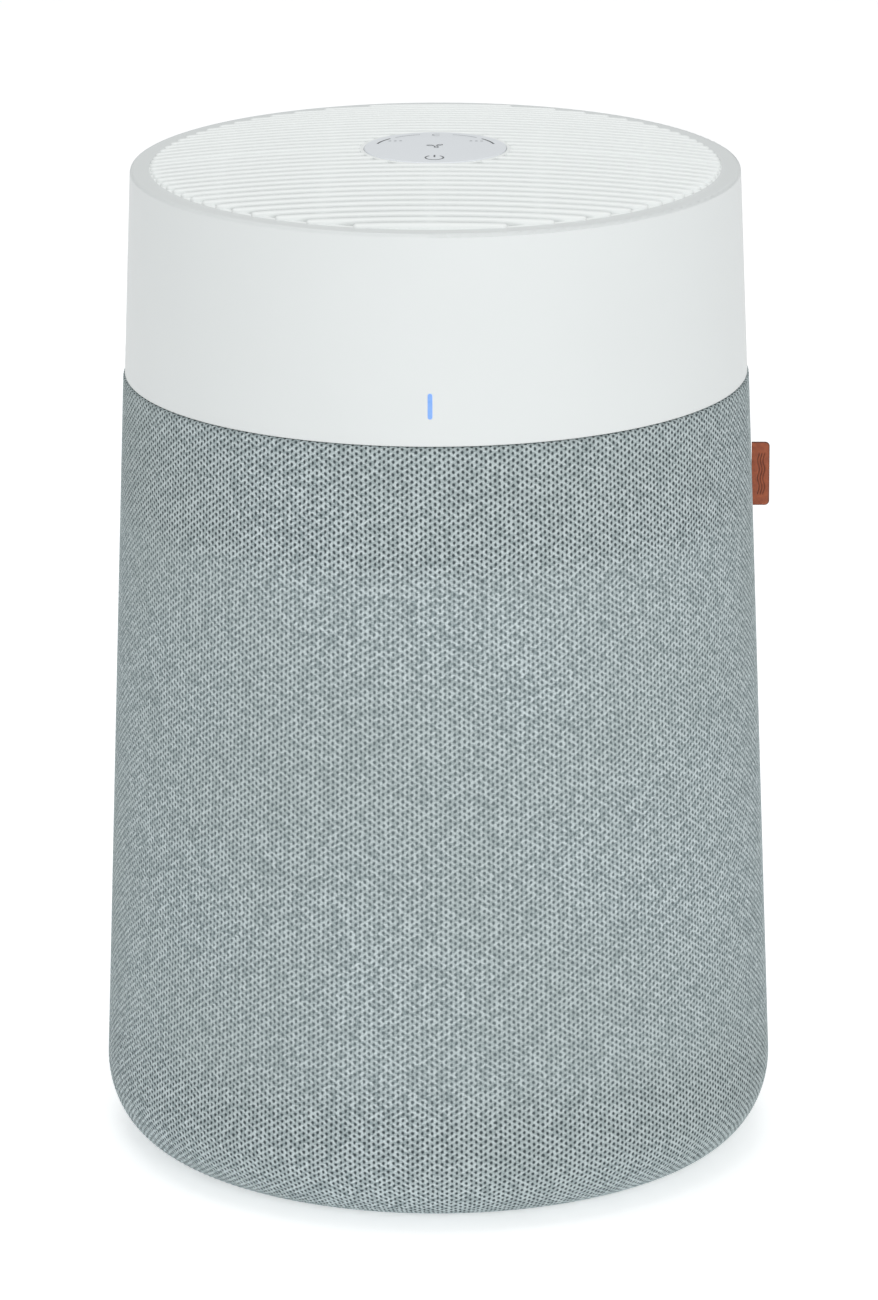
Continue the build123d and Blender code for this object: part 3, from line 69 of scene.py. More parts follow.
# ---------------------------------------------------------------- places read from the frame
RIM_TOP = corner("top_casing", 1).z
DOME_TOP = corner("control_panel", 1).z
GRILLE_RADIUS = corner("top_grille", 1).x
PANEL_RADIUS = corner("control_panel", 1).x
SLEEVE_TOP = corner("fabric_sleeve", 1).z
BELLY_RADIUS = corner("fabric_sleeve", 1).x
SLEEVE_BOTTOM = corner("fabric_sleeve", 0).z
HEM_OUTER = corner("bottom_hem", 1).x
HEM_TOP = corner("bottom_hem", 1).z
DECK_BOTTOM = corner("fan_deck", 0).z
FILTER_BOTTOM = corner("filter_bottom_cap", 0).z
TAG_LOW, TAG_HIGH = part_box("leather_tag")

# ---------------------------------------------------------------- sizes of the visible detail
SLAT_PITCH = 7.79 * MM
SLAT_COUNT = 34
SLAT_WIDTH = 4.3 * MM
SLAT_DEPTH = 6.0 * MM
SLAT_ROUND = 1.3 * MM  # radius along a slat's top edges
DOME_RISE = 7.9 * MM
RING_WIDTH = 3.6 * MM
RING_DEPTH = 5.5 * MM
RING_DROP = 0.15 * MM
RING_OVERLAP = 0.3 * MM  # closes the joint line round the grille
RIB_PLACES = (-98 * MM, -49 * MM, 0.0, 49 * MM, 98 * MM)
RIB_WIDTH = 2.6 * MM
RIB_DEPTH = 3.4 * MM
COLLAR_GAP = 0.15 * MM
COLLAR_WALL = 2.0 * MM
COLLAR_DEPTH = 18.0 * MM
COLLAR_DROP = 0.25 * MM
SLEEVE_TOP_RADIUS = 147.2 * MM
TUCK = 2.6 * MM  # how far the top edge turns in under the casing
BELLY_HEIGHT = 36.8 * MM
CURVE_WIDTH = 26.5 * MM
KNIT_COLUMNS = 220  # holes round the sleeve in one row
KNIT_PITCH = 3.0 * MM  # from one row of holes to the next in line
KNIT_WALE = 4.5 * MM  # from one hole to the next in a row, at the belly
HOLE_WIDE = 0.74 * MM
HOLE_TALL = 0.92 * MM
KNIT_RELIEF = 0.35 * MM
SEAM_WIDTH = 1.6 * MM
SEAM_DEPTH = 0.5 * MM
ICON_HEIGHT = 0.03 * MM
PUCKER_HEIGHT = 0.16 * MM
PUCKER_COUNT = 150
HEM_WIDTH = 3.1 * MM
HEM_STEPS = 900
FOAM_STEPS = 240
CURVE_STEPS = 240
SPAN_STEP = 5 * MM  # longest face along a slat or rib
END_STEPS = 8  # faces round a slat's end
HOLE_SHADE_FADE = 14 * MM  # how the painted shade in the holes fades at the filter's foot

DOME_SPHERE = (GRILLE_RADIUS**2 + DOME_RISE**2) / (2 * DOME_RISE)
DOME_CENTRE = DOME_TOP - DOME_SPHERE


def dome(radius):
    """Top of the outlet's dome at a radius."""
    return DOME_CENTRE + math.sqrt(DOME_SPHERE**2 - radius**2)


# ---------------------------------------------------------------- camera
CAMERA_REACH = 3.3464
CAMERA_HEIGHT = 1.2127
CAMERA_PITCH = 16.27
CAMERA_AZIMUTH = 1.1
CAMERA_ROLL = -0.2

camera_data = bpy.data.cameras.new("camera")
camera_data.lens = 202.6
camera_data.sensor_fit = "AUTO"
camera_data.sensor_width = 36
camera_data.shift_x = 0.0015
camera = bpy.data.objects.new("camera", camera_data)
bpy.context.scene.collection.objects.link(camera)
turn = math.radians(CAMERA_AZIMUTH)
camera.matrix_world = (
    Matrix.Translation(
        (CAMERA_REACH * math.sin(turn), -CAMERA_REACH * math.cos(turn), CAMERA_HEIGHT)
    )
    @ Matrix.Rotation(turn, 4, "Z")
    @ Matrix.Rotation(math.radians(90 - CAMERA_PITCH), 4, "X")
    @ Matrix.Rotation(math.radians(CAMERA_ROLL), 4, "Z")
)
bpy.context.scene.camera = camera


# ---------------------------------------------------------------- light and world
def area_light(name, place, size, power, target=(0, 0, 0.24)):
    """Square soft light at a place, pointed at the target."""
    data = bpy.data.lights.new(name, "AREA")
    data.size = size
    data.energy = power
    light = bpy.data.objects.new(name, data)
    bpy.context.scene.collection.objects.link(light)
    light.location = place
    light.rotation_euler = (Vector(target) - Vector(place)).to_track_quat("-Z", "Y").to_euler()


area_light("key_light", (0.65, -3.9, 1.9), 1.6, 48)
area_light("side_light", (2.6, -2.2, 1.2), 1.6, 3)
area_light("top_light", (-0.2, 0.4, 3.4), 2.6, 38)

world = bpy.data.worlds.new("studio")
world.use_nodes = True
world.node_tree.nodes["Background"].inputs["Color"].default_value = (0.98, 0.995, 1.0, 1)
world.node_tree.nodes["Background"].inputs["Strength"].default_value = 0.46
bpy.context.scene.world = world
bpy.context.scene.view_settings.view_transform = "Standard"


# ---------------------------------------------------------------- materials
class Look:
    """A procedural material being wired up, with short ways to add its nodes."""

    def __init__(self, name):
        self.material = bpy.data.materials.new(name)
        self.material.use_nodes = True
        self.tree = self.material.node_tree
        self.shader = self.tree.nodes["Principled BSDF"]
        self.place = self.tree.nodes.new("ShaderNodeTexCoord").outputs["Object"]

    def set(self, **values):
        """Constant values on the shader's own sockets, with _ for a space."""
        for key, value in values.items():
            self.shader.inputs[key.replace("_", " ")].default_value = value

    def link(self, source, socket):
        self.tree.links.new(source, self.shader.inputs[socket])

    def math(self, kind, a, b=None, c=None):
        node = self.tree.nodes.new("ShaderNodeMath")
        node.operation = kind
        for index, value in enumerate((a, b, c)):
            if value is None:
                continue
            if isinstance(value, (int, float)):
                node.inputs[index].default_value = value
            else:
                self.tree.links.new(value, node.inputs[index])
        return node.outputs[0]

    def to_whole(self, value):
        """Distance from a value to the whole number nearest it."""
        part = self.math("FRACT", self.math("ADD", value, 0.5))
        return self.math("ABSOLUTE", self.math("SUBTRACT", part, 0.5))

    def noise(self, scale, detail=3.0, stretch=(1, 1, 1), vector=None):
        """Noise from 0 to 1 with about scale features a metre."""
        mapping = self.tree.nodes.new("ShaderNodeMapping")
        mapping.inputs["Scale"].default_value = stretch
        self.tree.links.new(vector or self.place, mapping.inputs["Vector"])
        node = self.tree.nodes.new("ShaderNodeTexNoise")
        node.inputs["Scale"].default_value = scale
        node.inputs["Detail"].default_value = detail
        self.tree.links.new(mapping.outputs[0], node.inputs["Vector"])
        return node.outputs["Fac"]

    def ramp(self, value, low, high, to_low=0.0, to_high=1.0, smooth=False):
        """value's range from low to high laid over to_low to to_high."""
        node = self.tree.nodes.new("ShaderNodeMapRange")
        node.interpolation_type = "SMOOTHSTEP" if smooth else "LINEAR"
        ends = {"From Min": low, "From Max": high, "To Min": to_low, "To Max": to_high}
        for key, number in ends.items():
            node.inputs[key].default_value = number
        self.tree.links.new(value, node.inputs["Value"])
        return node.outputs["Result"]

    def mix(self, factor, a, b):
        """Colour between a and b, each a colour or a socket."""
        node = self.tree.nodes.new("ShaderNodeMix")
        node.data_type = "RGBA"
        self.tree.links.new(factor, node.inputs["Factor"])
        for key, value in (("A", a), ("B", b)):
            socket = [s for s in node.inputs if s.name == key and s.type == "RGBA"][0]
            if isinstance(value, tuple):
                socket.default_value = (*value, 1)
            else:
                self.tree.links.new(value, socket)
        return [s for s in node.outputs if s.type == "RGBA"][0]

    def bump(self, height, depth, strength=1.0):
        node = self.tree.nodes.new("ShaderNodeBump")
        node.inputs["Strength"].default_value = strength
        node.inputs["Distance"].default_value = depth
        self.tree.links.new(height, node.inputs["Height"])
        self.link(node.outputs["Normal"], "Normal")


def tint(colour, factor):
    return tuple(min(1.0, channel * factor) for channel in colour)


def moulded(
    name, colour, rough, grain=2600, depth=0.01, spread=0.08, shade=0.03, stretch=(1, 1, 1), **fixed
):
    """Moulded or worked surface: cloudy colour, uneven gloss and a fine grain."""
    look = Look(name)
    cloud = look.ramp(look.noise(14, 4), 0.3, 0.7)
    fine = look.noise(grain, 3, stretch)
    look.link(look.mix(cloud, tint(colour, 1 - shade), tint(colour, 1 + shade)), "Base Color")
    blotch = look.noise(60, 5)
    mixed = look.math("ADD", look.math("MULTIPLY", blotch, 0.5), look.math("MULTIPLY", fine, 0.5))
    look.link(look.ramp(mixed, 0.3, 0.7, rough - spread, rough + spread), "Roughness")
    look.bump(fine, depth * MM)
    look.set(**fixed)
    return look.material


def knit_look():
    """Open warp knit: staggered holes between pale, heathered yarns, on a map that counts stitches; the
    holes hold painted shade, lighter where the filter stands behind.
    """
    look = Look("knit_fabric")
    tree = look.tree
    stitches = tree.nodes.new("ShaderNodeUVMap")
    stitches.uv_map = "stitches"
    split = tree.nodes.new("ShaderNodeSeparateXYZ")
    tree.links.new(stitches.outputs["UV"], split.inputs[0])
    wander = look.ramp(look.noise(260, 2), 0.0, 1.0, -0.16, 0.16)
    drift = look.ramp(look.noise(310, 2, (1, 1.2, 0.8)), 0.0, 1.0, -0.16, 0.16)
    across = look.math("ADD", split.outputs["X"], wander)
    along = look.math("ADD", split.outputs["Y"], drift)
    near_u, near_v = look.to_whole(across), look.to_whole(along)
    far_u, far_v = look.math("SUBTRACT", 0.5, near_u), look.math("SUBTRACT", 0.5, near_v)
    reach = None
    for u, v in ((near_u, near_v), (far_u, far_v)):
        wide = look.math("POWER", look.math("MULTIPLY", u, KNIT_WALE / HOLE_WIDE), 2.0)
        tall = look.math("POWER", look.math("MULTIPLY", v, KNIT_PITCH / HOLE_TALL), 2.0)
        oval = look.math("SQRT", look.math("ADD", wide, tall))
        reach = oval if reach is None else look.math("MINIMUM", reach, oval)
    hole = look.ramp(reach, 1.35, 0.45, smooth=True)
    cell = tree.nodes.new("ShaderNodeTexWhiteNoise")
    cell.noise_dimensions = "2D"
    snapped = tree.nodes.new("ShaderNodeCombineXYZ")
    tree.links.new(look.math("FLOOR", look.math("MULTIPLY", across, 2.0)), snapped.inputs["X"])
    tree.links.new(look.math("FLOOR", look.math("MULTIPLY", along, 2.0)), snapped.inputs["Y"])
    tree.links.new(snapped.outputs[0], cell.inputs["Vector"])
    strand = look.noise(1500, 4)
    patchy = look.math("MULTIPLY", cell.outputs["Value"], 0.28)
    heather = look.math("ADD", patchy, look.math("MULTIPLY", strand, 0.72))
    yarn = look.mix(look.ramp(heather, 0.3, 0.72), (0.25, 0.305, 0.315), (0.65, 0.725, 0.74))
    cloud = look.ramp(look.noise(9, 2), 0.35, 0.65)
    yarn = look.mix(look.math("MULTIPLY", cloud, 0.35), yarn, (0.40, 0.455, 0.445))
    height = tree.nodes.new("ShaderNodeSeparateXYZ")
    tree.links.new(look.place, height.inputs[0])
    # painted shade: the holes get a dark colour in place of the shadowed hollow behind the knit, less dark
    # where the white filter stands behind them
    behind = look.math(
        "MULTIPLY",
        look.ramp(height.outputs["Z"], FILTER_BOTTOM - HOLE_SHADE_FADE, FILTER_BOTTOM + 22 * MM, smooth=True),
        look.ramp(height.outputs["Z"], DECK_BOTTOM + 6 * MM, DECK_BOTTOM - HOLE_SHADE_FADE, smooth=True),
    )
    painted_hole_shade = look.mix(behind, (0.03, 0.042, 0.047), (0.115, 0.145, 0.152))
    look.link(look.mix(look.math("MULTIPLY", hole, 0.92), yarn, painted_hole_shade), "Base Color")
    thread = look.math("MULTIPLY", look.noise(2400, 3), 0.22)
    look.bump(look.math("SUBTRACT", thread, look.math("MULTIPLY", hole, 0.9)), 0.5 * MM, 0.8)
    look.link(look.ramp(strand, 0.3, 0.7, 0.78, 0.95), "Roughness")
    look.set(Specular_IOR_Level=0.12)
    return look.material


def leather_look():
    """Vegetable-tanned leather: pores, fine creases, and a darker colour at the edges and along the
    pressed waves.
    """
    look = Look("tan_leather")
    tree = look.tree
    edge = tree.nodes.new("ShaderNodeAttribute")
    edge.attribute_name = "edge"
    pores = tree.nodes.new("ShaderNodeTexVoronoi")
    pores.inputs["Scale"].default_value = 2600
    tree.links.new(look.place, pores.inputs["Vector"])
    patch = look.ramp(look.noise(420, 5), 0.3, 0.7)
    hide = look.mix(patch, (0.27, 0.062, 0.026), (0.40, 0.105, 0.044))
    look.link(look.mix(edge.outputs["Fac"], hide, (0.05, 0.016, 0.011)), "Base Color")
    grain = look.math("ADD", pores.outputs["Distance"], look.math("MULTIPLY", look.noise(1900, 5), 0.6))
    look.bump(grain, 0.05 * MM, 0.8)
    look.link(look.ramp(patch, 0.0, 1.0, 0.42, 0.6), "Roughness")
    look.set(Specular_IOR_Level=0.35)
    return look.material


def lit_look():
    """Light window: even blue glow, a little cloudy."""
    look = Look("light_bar")
    glow = look.mix(look.ramp(look.noise(300, 2), 0.3, 0.7), (0.17, 0.33, 0.72), (0.20, 0.36, 0.78))
    cloud = look.ramp(look.noise(700, 2), 0.3, 0.7)
    look.link(look.mix(cloud, (0.04, 0.09, 0.2), (0.06, 0.12, 0.25)), "Base Color")
    look.link(glow, "Emission Color")
    look.link(look.ramp(look.noise(900, 2), 0.3, 0.7, 0.25, 0.4), "Roughness")
    look.set(Emission_Strength=1.0)
    return look.material


def fleece(name, colour, scale, depth, rough=0.9, stretch=(1, 1, 1), shade=0.12):
    """Matted or woven fibres."""
    look = Look(name)
    fibres = look.noise(scale, 6, stretch)
    matted = look.ramp(fibres, 0.3, 0.7)
    look.link(look.mix(matted, tint(colour, 1 - shade), tint(colour, 1 + shade)), "Base Color")
    look.link(look.ramp(fibres, 0.2, 0.8, rough - 0.08, min(1.0, rough + 0.06)), "Roughness")
    look.bump(fibres, depth * MM)
    look.set(Sheen_Weight=0.15)
    return look.material


WHITE = (0.735, 0.76, 0.755)
LOOKS = {
    "white_casing": moulded("white_casing", WHITE, 0.42, depth=0.004, shade=0.008, spread=0.04),
    "white_grille": moulded(
        "white_grille", (0.895, 0.92, 0.91),
        0.46, depth=0.004, shade=0.008, spread=0.04,
    ),
    "panel_face": moulded("panel_face", (0.82, 0.85, 0.88), 0.34, depth=0.002, shade=0.01, spread=0.04),
    "panel_print": moulded("panel_print", (0.10, 0.11, 0.12), 0.5, depth=0.002, spread=0.05),
    "panel_print_pale": moulded("panel_print_pale", (0.34, 0.36, 0.375), 0.5, depth=0.002, spread=0.05),
    "board_green": moulded("board_green", (0.03, 0.16, 0.07), 0.35, grain=900, depth=0.03, shade=0.12),
    "board_parts": moulded("board_parts", (0.04, 0.04, 0.045), 0.5, grain=1500, depth=0.02),
    "ribbon": moulded(
        "ribbon", (0.78, 0.77, 0.7),
        0.4, grain=1400, stretch=(1, 12, 0.1), depth=0.04, shade=0.1,
    ),
    "light_bar": lit_look(),
    "black_plastic": moulded("black_plastic", (0.025, 0.026, 0.03), 0.45, depth=0.02, shade=0.1),
    "pin_metal": moulded("pin_metal", (0.72, 0.6, 0.36), 0.28, depth=0.004, Metallic=1.0),
    "knit_fabric": knit_look(),
    "cage_plastic": moulded("cage_plastic", (0.45, 0.47, 0.48), 0.5, depth=0.02, shade=0.05),
    "deck_plastic": moulded("deck_plastic", (0.62, 0.63, 0.64), 0.5, depth=0.02, shade=0.04),
    "screw_steel": moulded("screw_steel", (0.62, 0.62, 0.6), 0.32, grain=1800, depth=0.01, Metallic=1.0),
    "motor_metal": moulded("motor_metal", (0.10, 0.105, 0.11), 0.4, depth=0.01, Metallic=0.6),
    "bearing_steel": moulded(
        "bearing_steel", (0.7, 0.7, 0.7),
        0.2, stretch=(1, 1, 18), depth=0.004, Metallic=1.0,
    ),
    "stack_steel": moulded(
        "stack_steel", (0.3, 0.3, 0.31),
        0.4, grain=900, stretch=(0.1, 0.1, 9), depth=0.05, Metallic=0.9,
    ),
    "coil_copper": moulded(
        "coil_copper", (0.6, 0.2, 0.07),
        0.35, grain=700, stretch=(0.2, 0.2, 6), depth=0.12, Metallic=0.8,
    ),
    "magnet": moulded("magnet", (0.06, 0.06, 0.065), 0.5, depth=0.02, shade=0.12),
    "lead_jacket": moulded("lead_jacket", (0.05, 0.055, 0.07), 0.45, depth=0.01, shade=0.1),
    "impeller_plastic": moulded("impeller_plastic", (0.66, 0.68, 0.69), 0.38, depth=0.01, shade=0.03),
    "base_plastic": moulded("base_plastic", (0.55, 0.57, 0.58), 0.5, depth=0.02, shade=0.04),
    "rubber_black": moulded("rubber_black", (0.02, 0.02, 0.02), 0.75, grain=1600, depth=0.03, shade=0.15),
    "seal_foam": fleece("seal_foam", (0.07, 0.07, 0.075), 900, 0.2, shade=0.3),
    "filter_plastic": moulded("filter_plastic", (0.76, 0.77, 0.765), 0.48, depth=0.01, shade=0.03),
    "filter_paper": fleece("filter_paper", (0.80, 0.81, 0.80), 700, 0.08, shade=0.05),
    "carbon_fleece": fleece("carbon_fleece", (0.025, 0.025, 0.027), 500, 0.25, shade=0.4),
    "tab_fabric": fleece("tab_fabric", (0.05, 0.14, 0.36), 1300, 0.12, stretch=(1, 1, 3), shade=0.25),
    "tan_leather": leather_look(),
}

for part in frame["record"]["subparts"]:
    for place in NODES[part["node"]].material_slots:
        place.material = LOOKS[part["material_slot"]]

floor_look = moulded("studio_floor", (0.93, 0.935, 0.94), 0.8, grain=300, depth=0.02, shade=0.006)
floor_shader = floor_look.node_tree.nodes["Principled BSDF"]
floor_shader.inputs["Emission Color"].default_value = (1, 1, 1, 1)
floor_shader.inputs["Emission Strength"].default_value = 0.44
floor_shader.inputs["Specular IOR Level"].default_value = 0.1


# ---------------------------------------------------------------- mesh helpers
def add_piece(name, points, faces, look, body=None):
    """Mesh object from points and faces, in the row frame, with one look."""
    mesh = bpy.data.meshes.new(name)
    mesh.from_pydata([tuple(p) for p in points], [], [tuple(f) for f in faces])
    mesh.validate()
    mesh.materials.append(look)
    piece = bpy.data.objects.new(name, mesh)
    bpy.context.scene.collection.objects.link(piece)
    mesh.shade_smooth()
    if body:
        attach(piece, body)
    return piece


def ring_faces(rows, columns, closed):
    """Quads that join rows of points, each row of the same number of columns."""
    last = columns if closed else columns - 1
    faces = []
    for row in range(rows - 1):
        for column in range(last):
            a = row * columns + column
            b = row * columns + (column + 1) % columns
            faces.append((a, b, b + columns, a + columns))
    return faces


def turned(profile, steps, wobble=None):
    """Points and faces of a closed (radius, height) profile turned about the Z axis."""
    points = []
    for radius, height in profile:
        for step in range(steps):
            angle = TAU * step / steps
            extra = wobble(angle) if wobble else 0.0
            points.append(
                ((radius + extra) * math.cos(angle), (radius + extra) * math.sin(angle), height)
            )
    faces = ring_faces(len(profile), steps, True)
    top = (len(profile) - 1) * steps
    faces += [(top + s, top + (s + 1) % steps, (s + 1) % steps, s) for s in range(steps)]
    return points, faces


def rounded_section(inner, outer, low, high, radius, arc_steps=4):
    """Rectangle in (radius, height) with rounded corners, as a closed profile."""
    corners = (
        (outer - radius, low + radius, -90),
        (outer - radius, high - radius, 0),
        (inner + radius, high - radius, 90),
        (inner + radius, low + radius, 180),
    )
    profile = []
    for x, z, start in corners:
        for step in range(arc_steps + 1):
            angle = math.radians(start + 90 * step / arc_steps)
            profile.append((x + radius * math.cos(angle), z + radius * math.sin(angle)))
    return profile


# ---------------------------------------------------------------- outlet grille
def slat_outline(low, high, place):
    """Stadium outline round a slat: points and the direction that points inwards."""
    half = SLAT_WIDTH / 2
    start, end = low + half, high - half
    spans = max(4, int((end - start) / SPAN_STEP))
    outline = []
    for step in range(spans + 1):
        outline.append((start + (end - start) * step / spans, place - half, 0.0, 1.0))
    for step in range(1, END_STEPS):
        angle = math.radians(-90 + 180 * step / END_STEPS)
        ahead, aside = math.cos(angle), math.sin(angle)
        outline.append((end + half * ahead, place + half * aside, -ahead, -aside))
    for step in range(spans + 1):
        outline.append((end - (end - start) * step / spans, place + half, 0.0, -1.0))
    for step in range(1, END_STEPS):
        angle = math.radians(90 + 180 * step / END_STEPS)
        ahead, aside = math.cos(angle), math.sin(angle)
        outline.append((start + half * ahead, place + half * aside, -ahead, -aside))
    return outline


def build_slats():
    """All the slats, each a bar with rounded ends whose top follows the dome."""
    points, faces = [], []
    half = SLAT_WIDTH / 2
    levels = [
        (half, -SLAT_DEPTH),
        (0.6 * MM, -SLAT_DEPTH),
        (0.15 * MM, -SLAT_DEPTH + 0.15 * MM),
        (0.0, -SLAT_DEPTH + 0.6 * MM),
    ]
    for step in range(6):
        angle = math.radians(90 * step / 5)
        levels.append((SLAT_ROUND * (1 - math.cos(angle)), SLAT_ROUND * (math.sin(angle) - 1)))
    levels.append((half * 0.82, 0.03 * MM))
    levels.append((half, 0.05 * MM))
    for number in range(SLAT_COUNT):
        place = (number - (SLAT_COUNT - 1) / 2) * SLAT_PITCH
        reach = math.sqrt(GRILLE_RADIUS**2 - (abs(place) + half * 0.2) ** 2)
        hole = PANEL_RADIUS + COLLAR_GAP + COLLAR_WALL / 2
        spans = [(-reach, reach)]
        if abs(place) < hole:
            near = math.sqrt(hole**2 - place**2)
            spans = [(-reach, -near), (near, reach)]
        for low, high in spans:
            outline = slat_outline(low, high, place)
            first = len(points)
            for inset, drop in levels:
                for x, y, nx, ny in outline:
                    px, py = x + nx * inset, y + ny * inset
                    points.append((px, py, dome(math.hypot(px, py)) + drop))
            around = ring_faces(len(levels), len(outline), True)
            faces += [tuple(first + i for i in face) for face in around]
    return points, faces


def build_grille_frame():
    """Ring, cross ribs and the panel's collar under the slats."""
    ring_top = RIM_TOP - RING_DROP
    section = rounded_section(
        GRILLE_RADIUS - RING_WIDTH,
        GRILLE_RADIUS + RING_OVERLAP,
        RIM_TOP - RING_DEPTH,
        ring_top,
        0.3 * MM,
    )
    points, faces = turned(section, 220)
    inner = PANEL_RADIUS + COLLAR_GAP
    collar_top = dome(inner + COLLAR_WALL) - COLLAR_DROP
    seat = corner("control_panel", 0).z
    for part in (
        rounded_section(inner, inner + COLLAR_WALL, DOME_TOP - COLLAR_DEPTH, collar_top, 0.5 * MM),
        rounded_section(
            PANEL_RADIUS - 4 * MM, inner + 0.6 * MM, seat - 2 * MM, seat - 0.05 * MM, 0.3 * MM
        ),
    ):
        more, joined = turned(part, 96)
        faces += [tuple(len(points) + i for i in face) for face in joined]
        points += more
    runs = [("y", place) for place in RIB_PLACES] + [("x", 0.0)]
    for axis, place in runs:
        reach = math.sqrt((GRILLE_RADIUS - 1.2 * MM) ** 2 - place**2)
        hole = inner + COLLAR_WALL / 2
        spans = [(-reach, reach)]
        if abs(place) < hole:
            near = math.sqrt(hole**2 - place**2)
            spans = [(-reach, -near), (near, reach)]
        for low, high in spans:
            first = len(points)
            steps = max(3, int((high - low) / SPAN_STEP))
            for step in range(steps + 1):
                along = low + (high - low) * step / steps
                for across, drop in ((-0.5, 0.0), (-0.5, 1.0), (0.5, 1.0), (0.5, 0.0)):
                    side = place + across * RIB_WIDTH
                    x, y = (side, along) if axis == "y" else (along, side)
                    top = dome(math.hypot(x, y)) - SLAT_DEPTH / 2
                    points.append((x, y, top - drop * RIB_DEPTH))
            faces += [tuple(first + i for i in face) for face in ring_faces(steps + 1, 4, True)]
            faces.append(tuple(first + i for i in range(4)))
            faces.append(tuple(first + steps * 4 + i for i in (3, 2, 1, 0)))
    return points, faces


slats = add_piece("grille_slats", *build_slats(), LOOKS["white_grille"], "housing")
grille_frame = add_piece("grille_frame", *build_grille_frame(), LOOKS["white_grille"], "housing")
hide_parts("top_grille")
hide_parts("top_grille")
for piece in (slats, grille_frame):
    mesh = piece.data
    mesh.set_sharp_from_angle(angle=math.radians(40))


# ---------------------------------------------------------------- printed signs on the touch panel
def stroke(points, width):
    """Flat ribbon of quads along (x, y) points, lying on the dome."""
    line = [Vector((x * MM, y * MM)) for x, y in points]
    out = []
    for index, point in enumerate(line):
        ahead = line[min(index + 1, len(line) - 1)] - line[max(index - 1, 0)]
        side = Vector((-ahead.y, ahead.x)).normalized() * width * MM / 2
        for place in (point - side, point + side):
            out.append((place.x, place.y, dome(place.length) + ICON_HEIGHT))
    return out, [(2 * i, 2 * i + 1, 2 * i + 3, 2 * i + 2) for i in range(len(line) - 1)]


def arc(radius, start, end, centre=(0.0, 0.0), steps=24):
    """Points along an arc, in degrees."""
    out = []
    for step in range(steps + 1):
        angle = math.radians(start + (end - start) * step / steps)
        out.append((centre[0] + radius * math.cos(angle), centre[1] + radius * math.sin(angle)))
    return out


def leaf(turn_by, centre):
    """One leaf of the fan sign, as a closed outline turned about its centre."""
    angle = math.radians(turn_by)
    shape = ((0.7, 0.0), (1.6, 1.0), (3.0, 1.5), (4.2, 0.9), (3.6, -0.1), (2.1, -0.5), (0.7, 0.0))
    return [
        (
            centre[0] + x * math.cos(angle) - y * math.sin(angle),
            centre[1] + x * math.sin(angle) + y * math.cos(angle),
        )
        for x, y in shape
    ]


DARK_SIGNS = (
    (arc(28.0, 14, 40), 1.0),
    (arc(28.0, 140, 166), 1.0),
    (arc(4.2, 125, 415, (0.0, -23.5)), 0.75),
    ([(0.0, -22.6), (0.0, -18.4)], 0.8),
    *((leaf(angle, (0.0, 1.0)), 0.7) for angle in (30, 150, 270)),
)
PALE_SIGNS = (
    (arc(28.0, 47, 74), 0.55),
    (arc(28.0, 106, 133), 0.55),
    (arc(2.2, 60, 300, (0.4, 26.0)), 0.6),
    *((arc(0.45, 0, 360, (x, 12.5), 10), 0.6) for x in (-21.5, -19.0, -16.5, 16.5, 19.0, 21.5)),
)


def build_signs(name, signs, look):
    points, faces = [], []
    for line, width in signs:
        more, joined = stroke(line, width)
        faces += [tuple(len(points) + i for i in face) for face in joined]
        points += more
    piece = add_piece(name, points, faces, LOOKS[look], "housing")
    return piece


build_signs("panel_signs", DARK_SIGNS, "panel_print")
build_signs("panel_signs_pale", PALE_SIGNS, "panel_print_pale")


# ---------------------------------------------------------------- knit sleeve
def sleeve_profile():
    """(radius, height) along the sleeve, from its top edge round to its bottom hem, evenly spaced."""
    centre = BELLY_RADIUS - CURVE_WIDTH
    drop = BELLY_HEIGHT - SLEEVE_BOTTOM
    line = [
        (SLEEVE_TOP_RADIUS - TUCK, SLEEVE_TOP + 0.15 * MM),
        (SLEEVE_TOP_RADIUS - 0.4 * MM, SLEEVE_TOP + 0.1 * MM),
        (SLEEVE_TOP_RADIUS, SLEEVE_TOP - 0.5 * MM),
    ]
    for step in range(CURVE_STEPS + 1):
        angle = math.radians(90 * step / CURVE_STEPS)
        line.append((centre + CURVE_WIDTH * math.cos(angle), BELLY_HEIGHT - drop * math.sin(angle)))
    line.append((HEM_OUTER - 0.4 * MM, SLEEVE_BOTTOM))
    line = np.array(line)
    lengths = np.concatenate([[0], np.cumsum(np.linalg.norm(np.diff(line, axis=0), axis=1))])
    rows = int(round(lengths[-1] / (KNIT_PITCH / 2)))
    wanted = np.linspace(0, lengths[-1], rows + 1)
    radius = np.interp(wanted, lengths, line[:, 0])
    height = np.interp(wanted, lengths, line[:, 1])
    return radius, height


